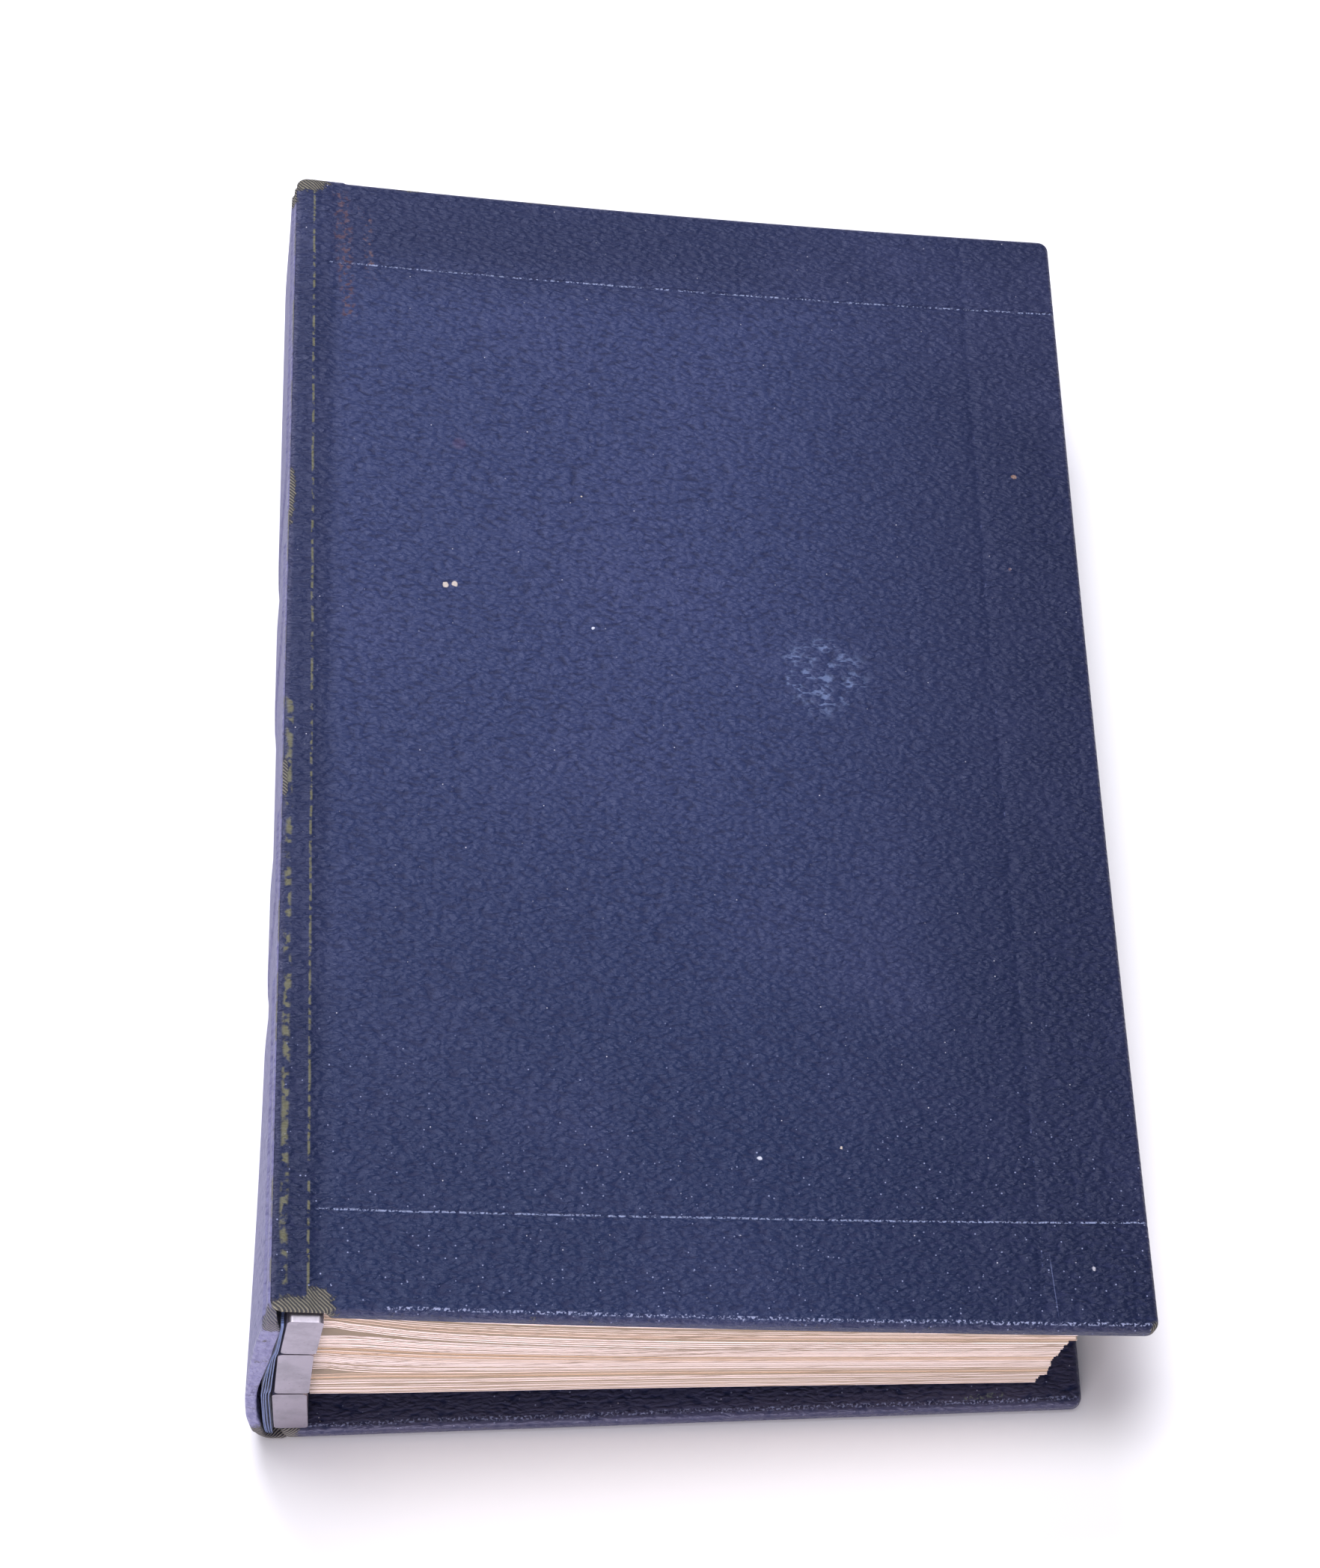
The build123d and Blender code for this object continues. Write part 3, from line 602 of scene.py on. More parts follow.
@dataclass(frozen=True)
class FibrousStock(Finish):
    """Pulp board, or linen guards: matt stock with visible fibres and a layered edge."""

    base: str
    shade: str
    layer_mm: float = 0.4

    def surface(self, tree: bpy.types.NodeTree) -> bpy.types.NodeSocket:
        """Layers along the thickness, with fibres across them."""
        place = add_node(tree, "ShaderNodeTexCoord", {}, {}, "Object")
        layered = add_node(tree, VECTOR, {"operation": "MULTIPLY"}, {0: place, 1: (0.1, 0.1, 1.0)})
        layers = add_node(tree, NOISE, {}, {"Vector": layered, "Scale": per_metre(self.layer_mm),
            "Detail": 4.0})
        colour = add_node(tree, MIX, COLOUR_MIX, {
            COLOUR_FACTOR: add_node(tree, RANGE, SMOOTH, {0: layers, 1: 0.35, 2: 0.65}),
            COLOUR_A: linear(self.shade),
            COLOUR_B: linear(self.base)}, COLOUR_OUT)
        normal = add_node(tree, BUMP, {}, {"Strength": 0.6, "Distance": 0.08 * MM, "Height": layers},
            "Normal")
        return add_node(tree, PRINCIPLED, {}, {
            "Base Color": colour, "Roughness": 0.85, "IOR": 1.5, "Normal": normal})


@dataclass(frozen=True)
class StudioFloor(Finish):
    """Seamless paper: matt, almost white, with no tooth that shows."""

    def surface(self, tree: bpy.types.NodeTree) -> bpy.types.NodeSocket:
        """A plain matt sheet."""
        return add_node(tree, PRINCIPLED, {}, {
            "Base Color": linear("#ebebef"), "Roughness": 0.9, "Specular IOR Level": 0.1})


# --- meshes ---------------------------------------------------------------------------------------------


@dataclass(frozen=True)
class AlbumPlace:
    """Turns album millimetres, from the back cover's tail corner on the spine side, into frame metres."""

    origin_x: float
    origin_y: float

    @classmethod
    def from_frame(cls, back_width: float) -> "AlbumPlace":
        """Find the album's corner from where the back cover stands in the frame."""
        low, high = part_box("back_covering")
        return cls(back_width - high.x / MM, -low.y / MM)

    def metres(self, points: Array) -> Array:
        """Frame places, in metres, of an array of album points in millimetres."""
        return (points - np.array([self.origin_x, self.origin_y, 0.0])) * MM

    def point(self, x: float, y: float, z: float) -> Vector:
        """One album point as a frame vector."""
        return Vector(self.metres(np.array([x, y, z])))


def smooth_step(value: Array, low: float, high: float) -> Array:
    """Rise smoothly from zero at low to one at high."""
    share = np.clip((value - low) / (high - low), 0.0, 1.0)
    return share * share * (3 - 2 * share)


def smooth_line(points: Sequence[Point], places: Array) -> tuple[Array, Array]:
    """A smooth curve through points, at fractional point numbers.

    Args:
        points: Pairs of coordinates in order.
        places: Where to read it; 1.5 is halfway from the second point to the third.

    Returns:
        The two coordinates there.
    """
    known = np.array(points, float)
    slopes = np.gradient(known, axis=0)
    first = np.clip(np.floor(places).astype(int), 0, len(known) - 2)
    t = (places - first)[..., None]
    start, end = known[first], known[first + 1]
    leave, arrive = slopes[first], slopes[first + 1]
    curve = (
        (2 * t**3 - 3 * t**2 + 1) * start + (t**3 - 2 * t**2 + t) * leave
        + (3 * t**2 - 2 * t**3) * end + (t**3 - t**2) * arrive
    )
    return curve[..., 0], curve[..., 1]


def height_at(points: Sequence[Point], x: Array) -> Array:
    """Height of a smooth curve through points over given x."""
    fine = np.linspace(0, len(points) - 1, 40 * len(points))
    along, height = smooth_line(points, fine)
    return np.interp(x, along, height)


def grid_lines(low: float, high: float, step: float, extra: Sequence[float] = ()) -> Array:
    """Grid lines at about a step apart, with extra ones where detail needs them.

    Args:
        low: First line.
        high: Last line.
        step: Usual distance.
        extra: More lines to include.

    Returns:
        The lines in order, none nearly on another.
    """
    usual = np.linspace(low, high, max(2, round((high - low) / step) + 1))
    kept = [low]
    wanted = sorted([(x, 0) for x in extra if low < x < high] + [(x, 1) for x in usual[1:-1]])
    closest = 0.18
    for x, _ in wanted:
        if x - kept[-1] >= closest and high - x >= closest:
            kept.append(x)
    return np.array(kept + [high])


def grid_quads(index: Array) -> Array:
    """The four corners of each cell in a grid of point numbers."""
    return np.stack([index[:-1, :-1], index[1:, :-1], index[1:, 1:], index[:-1, 1:]], -1).reshape(-1, 4)


def mesh_piece(
    name: str, points: Array, faces: list[tuple[int, ...]], floats: dict[str, Array], rest: Array,
    finishes: Sequence[Finish], face_finish: Array | None = None, sharp: float = 50.0,
) -> bpy.types.Object:
    """Make one smooth-shaded mesh object.

    Args:
        name: The piece's name.
        points: Vertex places in metres.
        faces: Vertex numbers of each face.
        floats: Named values for each vertex, read by its finish.
        rest: Each vertex's place on the flat piece, in metres.
        finishes: Its finishes.
        face_finish: Number of the finish on each face.
        sharp: Edges that turn by more than this many degrees stay crisp.

    Returns:
        The object, in the scene.
    """
    mesh = bpy.data.meshes.new(name)
    mesh.from_pydata(points.tolist(), [], faces)
    mesh.attributes.new("rest", "FLOAT_VECTOR", "POINT").data.foreach_set("vector",
        rest.astype(np.float32).ravel())
    for key, values in floats.items():
        mesh.attributes.new(key, "FLOAT", "POINT").data.foreach_set("value", values.astype(np.float32))
    for finish in finishes:
        mesh.materials.append(finish.material())
    if face_finish is not None:
        mesh.polygons.foreach_set("material_index", face_finish.astype(np.int32))
    mesh.polygons.foreach_set("use_smooth", np.ones(len(mesh.polygons), bool))
    mesh.set_sharp_from_angle(angle=math.radians(sharp))
    mesh.validate()
    piece = bpy.data.objects.new(name, mesh)
    bpy.context.scene.collection.objects.link(piece)
    log.info("%s: %d points, %d faces", name, len(points), len(faces))
    return piece


Measure = Callable[[Array, Array], Array]


def level(u: Array, v: Array) -> Array:
    """No relief anywhere."""
    return np.zeros_like(u + v)


@dataclass
class Slab:
    """A closed layer with rounded corners and rims, built flat and then mapped into place.

    Millimetres: u runs over its width, v over its height and depth goes in from the outer face.
    """

    name: str
    width: float
    height: float
    corner: float
    rim: float
    place: Callable[[Array, Array, Array], Array]
    thickness: Measure
    finishes: Sequence[Finish]
    step_u: float = 1.7
    step_v: float = 1.7
    extra_u: Sequence[float] = ()
    extra_v: Sequence[float] = ()
    relief: Measure = level
    under: Measure = level
    lined: tuple[float, float, float, float] | None = None
    arc_steps: int = 5

    def core(self, u: Array, v: Array) -> tuple[Array, Array, Array, Array]:
        """Nearest point of the part inside the corners' centres, and the offsets from it."""
        inner_u = np.clip(u, self.corner, self.width - self.corner)
        inner_v = np.clip(v, self.corner, self.height - self.corner)
        return inner_u, inner_v, u - inner_u, v - inner_v

    def rounded(self, u: Array, v: Array) -> tuple[Array, Array]:
        """Pull the square corners of a grid in to arcs."""
        inner_u, inner_v, du, dv = self.core(u, v)
        reach = np.maximum(np.abs(du), np.abs(dv))
        size = np.hypot(du, dv)
        share = np.where((np.abs(du) > 1e-9) & (np.abs(dv) > 1e-9), reach / np.maximum(size, 1e-9), 1.0)
        return inner_u + du * share, inner_v + dv * share

    def build(self, album: AlbumPlace) -> bpy.types.Object:
        """Make the mesh.

        Args:
            album: Where the album stands in the frame.

        Returns:
            The object.
        """
        turn = np.linspace(0, 1, 5)[1:] * (self.corner - self.rim)
        corners_u = [self.rim + t for t in turn] + [self.width - self.rim - t for t in turn]
        corners_v = [self.rim + t for t in turn] + [self.height - self.rim - t for t in turn]
        u_lines = grid_lines(self.rim, self.width - self.rim, self.step_u, [*self.extra_u, *corners_u])
        v_lines = grid_lines(self.rim, self.height - self.rim, self.step_v, [*self.extra_v, *corners_v])
        u, v = self.rounded(*np.meshgrid(u_lines, v_lines, indexing="ij"))
        index = np.arange(u.size).reshape(u.shape)
        loop = np.concatenate([index[:, 0], index[-1, 1:], index[-2::-1, -1], index[0, -2:0:-1]])
        u, v = u.ravel(), v.ravel()
        _, _, du, dv = self.core(u[loop], v[loop])
        size = np.maximum(np.hypot(du, dv), 1e-9)
        out_u, out_v = du / size, dv / size

        depth = self.thickness(u, v)
        us, vs, depths = [u], [v], [self.relief(u, v)]
        angles = np.radians(np.linspace(0, 90, self.arc_steps + 1)[1:])
        rim_depth = np.minimum(self.rim, depth[loop] * 0.5)
        sunk = self.relief(u, v)[loop]
        for angle in angles:
            us.append(u[loop] + out_u * self.rim * math.sin(angle))
            vs.append(v[loop] + out_v * self.rim * math.sin(angle))
            depths.append(rim_depth * (1 - math.cos(angle)) + sunk * math.cos(angle))
        for angle in angles[::-1]:
            us.append(u[loop] + out_u * self.rim * math.sin(angle))
            vs.append(v[loop] + out_v * self.rim * math.sin(angle))
            depths.append(depth[loop] - rim_depth * (1 - math.cos(angle)))
        us.append(u)
        vs.append(v)
        depths.append(depth - self.under(u, v))

        quads = grid_quads(index)
        faces = [quads]
        ring = loop
        start = len(u)
        for _ in range(2 * self.arc_steps):
            following = start + np.arange(len(loop))
            faces.append(np.stack([ring, following, np.roll(following, -1), np.roll(ring, -1)], -1))
            ring = following
            start += len(loop)
        last = start + loop
        faces.append(np.stack([ring, last, np.roll(last, -1), np.roll(ring, -1)], -1))
        faces.append(start + quads[:, ::-1])
        faces = np.concatenate(faces)

        all_u, all_v, all_depth = np.concatenate(us), np.concatenate(vs), np.concatenate(depths)
        inside = np.minimum.reduce([all_u, self.width - all_u, all_v, self.height - all_v])
        wear = np.exp(-np.maximum(inside - 0.6, 0.0) / 1.3)
        finish = None
        if self.lined:
            low_u, high_u, low_v, high_v = self.lined
            middle_u, middle_v = all_u[faces].mean(1), all_v[faces].mean(1)
            within = (middle_u > low_u) & (middle_u < high_u) & (middle_v > low_v) & (middle_v < high_v)
            finish = within & (faces.min(1) >= start)
        points = album.metres(self.place(all_u, all_v, all_depth))
        rest = np.stack([all_u, all_v, all_depth], -1) * MM
        return mesh_piece(self.name, points, faces.tolist(), {"wear": wear}, rest, self.finishes, finish)


# --- sub-assemblies --------------------------------------------------------------------------------------


@dataclass
class FrontCover:
    """The front board in its leathercloth, with the thin fold that joins it to the top bar."""

    width: float = 194.2
    height: float = 300.0
    spine_x: float = 10.85
    spine_z: float = 75.0
    fore_z: float = 44.2
    shift_y: float = 2.5
    dip: float = 1.7
    board: float = 4.2
    flex: float = 1.0
    crease_at: float = 10.0
    board_at: float = 12.4
    turn_in: float = 14.0
    head_line: tuple[Point, Point] = ((8.1, 275.0), (193.6, 276.6))
    tail_line: tuple[Point, Point] = ((9.3, 23.5), (193.6, 25.7))
    fore_line: tuple[Point, Point] = ((168.8, 4.0), (170.3, 296.0))
    groove_half: float = 0.55
    groove_depth: float = 0.34
    band_half: float = 1.7
    band_depth: float = 0.10

    def finish(self) -> PebbledLeathercloth:
        """The leathercloth with this cover's own marks and wear, with painted highlights along the tooled
        lines and the tail rim, and painted shade.
        """
        olive, pale, painted_highlight = "#5a5945", "#b5aaa2", "#7d86a6"
        return PebbledLeathercloth(
            "leathercloth_front_embossed_pebble",
            spots=(
                Spot(37.1, 183.0, 0.9, pale), Spot(39.2, 183.4, 0.85, pale),
                Spot(72.1, 173.8, 0.5, "#b9bccb"),
                Spot(106.3, 38.9, 0.65, "#b9bccb"), Spot(180.4, 14.4, 0.6, "#a9a8b4"),
                Spot(179.4, 225.2, 0.8, "#7a6259"), Spot(176.2, 197.7, 0.6, "#5b4c55"),
                Spot(40.5, 223.7, 2.0, "#4b3550", 0.3), Spot(125.0, 42.0, 0.35, pale),
                Spot(70.0, 211.0, 0.3, pale),
            ),
            scuffs=(
                Scuff(3.0, 299.4, 4.6, 3.2), Scuff(5.0, 0.2, 8.0, 3.0), Scuff(9.8, 0.4, 3.6, 5.0),
                Scuff(193.8, 0.4, 1.6, 1.6), Scuff(0.4, 205.0, 0.9, 8.0, 0.9),
                Scuff(0.4, 128.0, 0.8, 5.0, 0.8),
                Scuff(28.0, 299.9, 5.0, 0.9, 0.8), Scuff(62.0, 299.9, 9.0, 0.8, 0.6),
            ),
            lines=(
                WearAndHighlightLine((7.8, 3.0), (4.4, 298.0), 0.40, olive, 2.2, 0.60),
                WearAndHighlightLine((2.6, 3.0), (1.2, 150.0), 1.1, olive, 3.0, 0.50),
                WearAndHighlightLine((13.5, 258.0), (11.0, 297.0), 2.6, "#453440", 1.3, 0.40),
                WearAndHighlightLine((19.0, 270.0), (16.5, 293.0), 1.8, "#4b3a42", 1.2, 0.25),
                WearAndHighlightLine((171.4, 3.0), (170.4, 21.0), 0.10, "#555d80", 7.0, 0.6),
                # Painted highlights: the pale silver on the tooled head and tail lines stands in for light on
                # the grooves' edges.
                WearAndHighlightLine(*self.head_line, 0.30, painted_highlight, 0.55, 0.45),
                WearAndHighlightLine(*self.tail_line, 0.30, painted_highlight, 0.55, 0.60),
                # Painted highlight along the tail rim.
                WearAndHighlightLine((24.0, 1.5), (193.0, 1.5), 0.55, "#868cab", 0.7, 0.42),
                WearAndHighlightLine(*self.fore_line, 0.22, "#3d4468", 2.4, 0.1),
            ),
            crackle=Spot(127.0, 164.0, 13.0, "#5f6d92", 0.75),
            # Painted shade over the fold, above the head line and along the fore-edge.
            dulled=((0, 14.0, 7.0), (1, 262.0, 284.0), (0, 178.0, 193.0)),
        )

    def place(self, along: Array, across: Array, depth: Array) -> Array:
        """Map the flat cover on to its dished, sloping place.

        Args:
            along: From the spine edge.
            across: From the tail.
            depth: Below the outer face.

        Returns:
            Album points in millimetres.
        """
        run = math.sqrt(self.width**2 - (self.spine_z - self.fore_z) ** 2)
        slope_x, slope_z = run / self.width, (self.fore_z - self.spine_z) / self.width
        share = along / self.width
        below = depth + 4 * self.dip * share * (1 - share)
        bowed = along - 0.7 * np.sin(math.pi * across / self.height) * share**6
        x = self.spine_x + slope_x * bowed + slope_z * below
        z = self.spine_z + slope_z * bowed - slope_x * below
        return np.stack([x, across + self.shift_y, z], -1)

    def tooled(self, along: Array, across: Array, line: tuple[Point, Point], band_below: bool) -> Array:
        """Depth of one tooled line with its smooth band beside it.

        Args:
            along: From the spine edge.
            across: From the tail.
            line: The line's two ends.
            band_below: Whether the smooth band lies towards the tail, or across the line.

        Returns:
            Depth below the outer face.
        """
        (a0, c0), (a1, c1) = line
        if abs(c1 - c0) > abs(a1 - a0):
            off = along - (a0 + (a1 - a0) * (across - c0) / (c1 - c0))
            shown = smooth_step(across, c0 - 2, c0 + 2) * (1 - smooth_step(across, c1 - 2, c1 + 2))
        else:
            off = across - (c0 + (c1 - c0) * (along - a0) / (a1 - a0))
            shown = smooth_step(along, a0 - 1, a0 + 1)
        groove = self.groove_depth * np.exp(-((off / self.groove_half) ** 2))
        from_band = off + (self.band_half if band_below else 0)
        band = self.band_depth * np.exp(-((from_band / self.band_half) ** 4))
        return shown * (groove * (1.0 if band_below else 0.25) + band)

    def relief(self, along: Array, across: Array) -> Array:
        """Depth of the tooling, the fold and the board's gentle unevenness."""
        ridge_at = 7.8 - 3.4 * across / self.height
        ridge = -0.16 * np.exp(-(((along - ridge_at) / 0.9) ** 2))
        crease = 0.15 * np.exp(-(((along - self.crease_at - 0.3) / 1.3) ** 2))
        rolled = 0.9 * np.clip((3.2 - along) / 3.2, 0, 1) ** 2
        swell = 0.10 * np.sin(along / 23.0 + 1.3) * np.sin(across / 31.0 + 0.4)
        tooling = (
            self.tooled(along, across, self.head_line, True) + self.tooled(along, across, self.tail_line,
            True)
            + self.tooled(along, across, self.fore_line, False)
        )
        inside = np.minimum.reduce([along, self.width - along, across, self.height - across])
        return ridge + crease + rolled + tooling + swell * smooth_step(inside, 1.5, 12)

    def thickness(self, along: Array, across: Array) -> Array:
        """Thin at the fold, and as thick as the covered board beyond it."""
        return self.flex + (self.board - self.flex) * smooth_step(along, self.board_at - 0.9,
            self.board_at + 0.5)

    def lining_sunk(self, along: Array, across: Array) -> Array:
        """How far the lining lies under the turned-in edges."""
        low, high = self.board_at + 1.5, self.width - self.turn_in
        inside = np.minimum.reduce([along - low, high - along, across - self.turn_in,
            self.height - self.turn_in - across])
        return 0.30 * smooth_step(inside, 0.0, 0.5)

    def build(self, album: AlbumPlace) -> None:
        """Make the cover and hide the imported cover parts it replaces."""
        near_lines = [line + offset for line in (24.6, 275.8) for offset in np.arange(-4.2, 2.4, 0.3)]
        fold_lines = list(np.arange(0.6, 14.0, 0.5))
        fore_lines = list(np.arange(167.0, 172.4, 0.6))
        window = (self.board_at + 1.5, self.width - self.turn_in, self.turn_in, self.height - self.turn_in)
        lined_u = [window[0], window[0] + 0.3, window[1], window[1] - 0.3]
        lined_v = [window[2], window[2] + 0.3, window[3], window[3] - 0.3]
        cover = Slab(
            "front_leathercloth", self.width, self.height, 2.7, 1.3, self.place, self.thickness,
            (self.finish(), LiningPaper("lining_paper_calendered")),
            extra_u=[*fold_lines, *fore_lines, *lined_u],
            extra_v=[*near_lines, *lined_v], relief=self.relief, under=self.lining_sunk, lined=window,
        ).build(album)
        fold_start, fold_end = self.place(
            np.array([self.crease_at - 1.6, self.crease_at + 1.8]), np.full(2, HALF_HEIGHT), np.full(2, 0.5))
        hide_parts("front_board", "front_covering", "front_lining", "front_hinge_strip")
        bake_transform(cover)


@dataclass
class BackCover:
    """The back board in its leathercloth, lined inside, on which the album lies."""

    left: float = 6.2
    right: float = 189.4
    height: float = 300.0
    board: float = 4.2
    turn_in: float = 14.0
    mitre_half: float = 0.35

    def finish(self) -> PebbledLeathercloth:
        """The leathercloth with this cover's own wear, a painted highlight along the tail rim and painted
        glints.
        """
        return PebbledLeathercloth(
            "leathercloth_back_embossed_pebble", coat="#383a56", coat_low="#38384f", roughness=0.34,
            rim_wear=0.1, dark_from=400.0,
            scuffs=(Scuff(182.0, 1.0, 3.5, 2.0, 0.8), Scuff(1.0, 299.0, 2.5, 2.5, 0.9)),
            # The pale line along the tail rim is a painted highlight.
            lines=(WearAndHighlightLine((1.0, 1.7), (179.0, 1.7), 0.7, "#767d9d", 0.6, 0.40),
                   WearAndHighlightLine((18.0, 3.4), (27.0, 2.8), 0.8, "#5c655f", 1.0, 0.4)),
            dust_and_sparkle=1.0, glint_spread=1.0, pebble_rise=0.25,
        )

    def place(self, along: Array, across: Array, depth: Array) -> Array:
        """Depth goes up from the outer face, which lies on the table."""
        return np.stack([self.right - along, across, depth], -1)

    def under(self, along: Array, across: Array) -> Array:
        """Relief of the inside: the lining lies lower than the turned-in edges, with mitred corner folds."""
        width = self.right - self.left
        inside = np.minimum.reduce([along - self.turn_in, across - self.turn_in,
            self.height - self.turn_in - across])
        sunk = 0.32 * smooth_step(inside, 0.0, 0.5)
        for corner in (0.0, self.height):
            off = np.abs(along - np.abs(across - corner)) / math.sqrt(2)
            near = 1 - smooth_step(along, self.turn_in - 2, self.turn_in)
            sunk = sunk + 0.22 * np.exp(-((off / self.mitre_half) ** 2)) * near * (along < width)
        return sunk

    def build(self, album: AlbumPlace) -> None:
        """Make the cover."""
        width = self.right - self.left
        window = (self.turn_in, width - 4.0, self.turn_in, self.height - self.turn_in)
        lined = [self.turn_in, self.turn_in + 0.3]
        cover = Slab(
            "back_leathercloth", width, self.height, 2.6, 1.4, self.place, lambda u, v: self.board + 0 * u,
            (self.finish(), LiningPaper("lining_paper_calendered")), step_u=2.0, step_v=2.0,
            extra_u=[*lined, *np.arange(1.5, 14.5, 0.5)],
            extra_v=[*lined, *(self.height - x for x in lined), *np.arange(1.5, 14.5, 0.5),
            *np.arange(285.5, 298.5, 0.5)],
            under=self.under, lined=window,
        ).build(album)
        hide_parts("back_board", "back_covering", "back_lining")
        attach(cover, "base")


@dataclass
class Spine:
    """The spine panel: leathercloth over card, sprung out at the tail, with raised panels."""

    height: float = 300.0
    sprung: tuple[Point, ...] = (
        (8.0, 0.35), (5.2, 0.30), (3.4, 0.75), (2.0, 2.2), (0.9, 5.0), (0.5, 12.0), (0.6, 18.0),
        (2.1, 33.0),
        (5.9, 56.0), (9.5, 71.5), (10.3, 74.4),
    )
    tight: tuple[Point, ...] = (
        (8.0, 0.35), (5.6, 0.35), (3.9, 0.85), (2.8, 2.2), (2.5, 5.0), (2.9, 12.0), (3.3, 18.0),
        (4.8, 33.0),
        (7.9, 56.0), (9.9, 71.5), (10.5, 74.4),
    )
    reach: float = 130.0
    panels: tuple[Point, ...] = ((-2.0, 81.9), (103.8, 124.0), (176.0, 196.2), (218.1, 302.0))
    rise: float = 0.5
    skin: float = 1.1
    tail_extra: float = 1.0
    upper_extra: float = 1.7

    def finish(self) -> PebbledLeathercloth:
        """The leathercloth with the spine's wear; its pale lavender coat is a painted sheen, standing in for
        light at a grazing angle on navy cloth.
        """
        return PebbledLeathercloth(
            # Painted sheen: the pale lavender coat, low coat and bloom stand in for the white floor's
            # reflection on navy cloth.
            "leathercloth_spine_embossed_pebble", coat="#6b6a90", coat_low="#747398", valley_shade="#5d5c82",
            bloom="#82819f",
            roughness=0.46, rim_wear=0.2, pebble_mm=1.3, rim_rub_and_light="#6d6b90", dark_from=400.0,
            scuffs=(Scuff(5.0, 0.6, 8.0, 4.0, 0.9), Scuff(78.0, 1.0, 4.0, 3.0, 0.7),
            Scuff(78.0, 299.0, 5.0, 4.0)),
            lines=(WearAndHighlightLine((8.5, 4.0), (8.5, 296.0), 0.5, "#6b6a4b", 6.0, 0.4),
                   WearAndHighlightLine((79.0, 4.0), (79.0, 296.0), 0.6, "#6b6a4b", 7.0, 0.5)),
        )

    def length_table(self) -> tuple[Array, Array]:
        """Distances up the tight line, with their fractional point numbers."""
        numbers = np.linspace(0, len(self.tight) - 1, 400)
        x, z = smooth_line(self.tight, numbers)
        lengths = np.concatenate([[0.0], np.cumsum(np.hypot(np.diff(x), np.diff(z)))])
        return lengths, numbers

    def place(self, up: Array, across: Array, depth: Array) -> Array:
        """Map the flat skin on to the spine's curve, sprung out near the tail.

        Args:
            up: Distance up the spine from the back cover's edge.
            across: From the tail.
            depth: In from the outer face.

        Returns:
            Album points in millimetres.
        """
        lengths, numbers = self.length_table()
        at = np.interp(up, lengths, numbers)
        sprung = np.clip(1 - across / self.reach, 0.0, 1.0) ** 2
        step = 0.02
        spots = []
        for number in (at - step, at, at + step):
            held = np.clip(number, 0, len(self.tight) - 1)
            tight_x, tight_z = smooth_line(self.tight, held)
            free_x, free_z = smooth_line(self.sprung, held)
            spots.append((tight_x + (free_x - tight_x) * sprung, tight_z + (free_z - tight_z) * sprung))
        run_x, run_z = spots[2][0] - spots[0][0], spots[2][1] - spots[0][1]
        size = np.maximum(np.hypot(run_x, run_z), 1e-9)
        x = spots[1][0] + run_z / size * depth
        z = spots[1][1] - run_x / size * depth
        return np.stack([x, across, z], -1)

    def relief(self, up: Array, across: Array) -> Array:
        """Raised panels between the plain bands."""
        total = self.length_table()[0][-1]
        raised = np.zeros_like(across)
        for low, high in self.panels:
            raised += smooth_step(across, low - 0.4, low + 0.4) * (1 - smooth_step(across, high - 0.4,
                high + 0.4))
        within = smooth_step(up, 8.2, 9.4) * (1 - smooth_step(up, total - 4.2, total - 3.0))
        return -self.rise * raised * within

    def thickness(self, up: Array, across: Array) -> Array:
        """Thicker at the tail and head, where the leathercloth is turned in over the card."""
        ends = np.exp(-across / 7.0) + np.exp(-(self.height - across) / 7.0)
        swollen = self.tail_extra + self.upper_extra * smooth_step(up, 32.0,
            60.0) * (1 - smooth_step(up, 72.0, 80.0))
        return self.skin + swollen * ends * smooth_step(up, 5.0, 9.0)

    def build(self, album: AlbumPlace) -> None:
        """Make the spine and hide the imported spine parts it replaces."""
        total = float(self.length_table()[0][-1])
        steps = [
            edge + offset for panel in self.panels for edge in panel for offset in (-0.5, -0.2, 0.2, 0.5)]
        window = (10.0, total - 3.0, 12.0, self.height - 12.0)
        panel = Slab(
            "spine_leathercloth", total, self.height, 0.9, 0.5, self.place, self.thickness,
            (self.finish(), LiningPaper("lining_paper_calendered")), step_u=1.3, step_v=2.0,
            extra_u=[*np.arange(1.0, 12.0, 0.45), 8.3, 8.8, 9.3, total - 4.2, total - 3.6, total - 3.0],
            extra_v=[*steps, *np.arange(1.0, 8.0, 1.0)], relief=self.relief, lined=window,
        ).build(album)
        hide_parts("spine_covering", "spine_card", "spine_lining")
        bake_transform(panel)


class Half(Enum):
    """Which half of a ply: each ply is built as a lower and an upper half."""

    LOWER = "lower"
    UPPER = "upper"


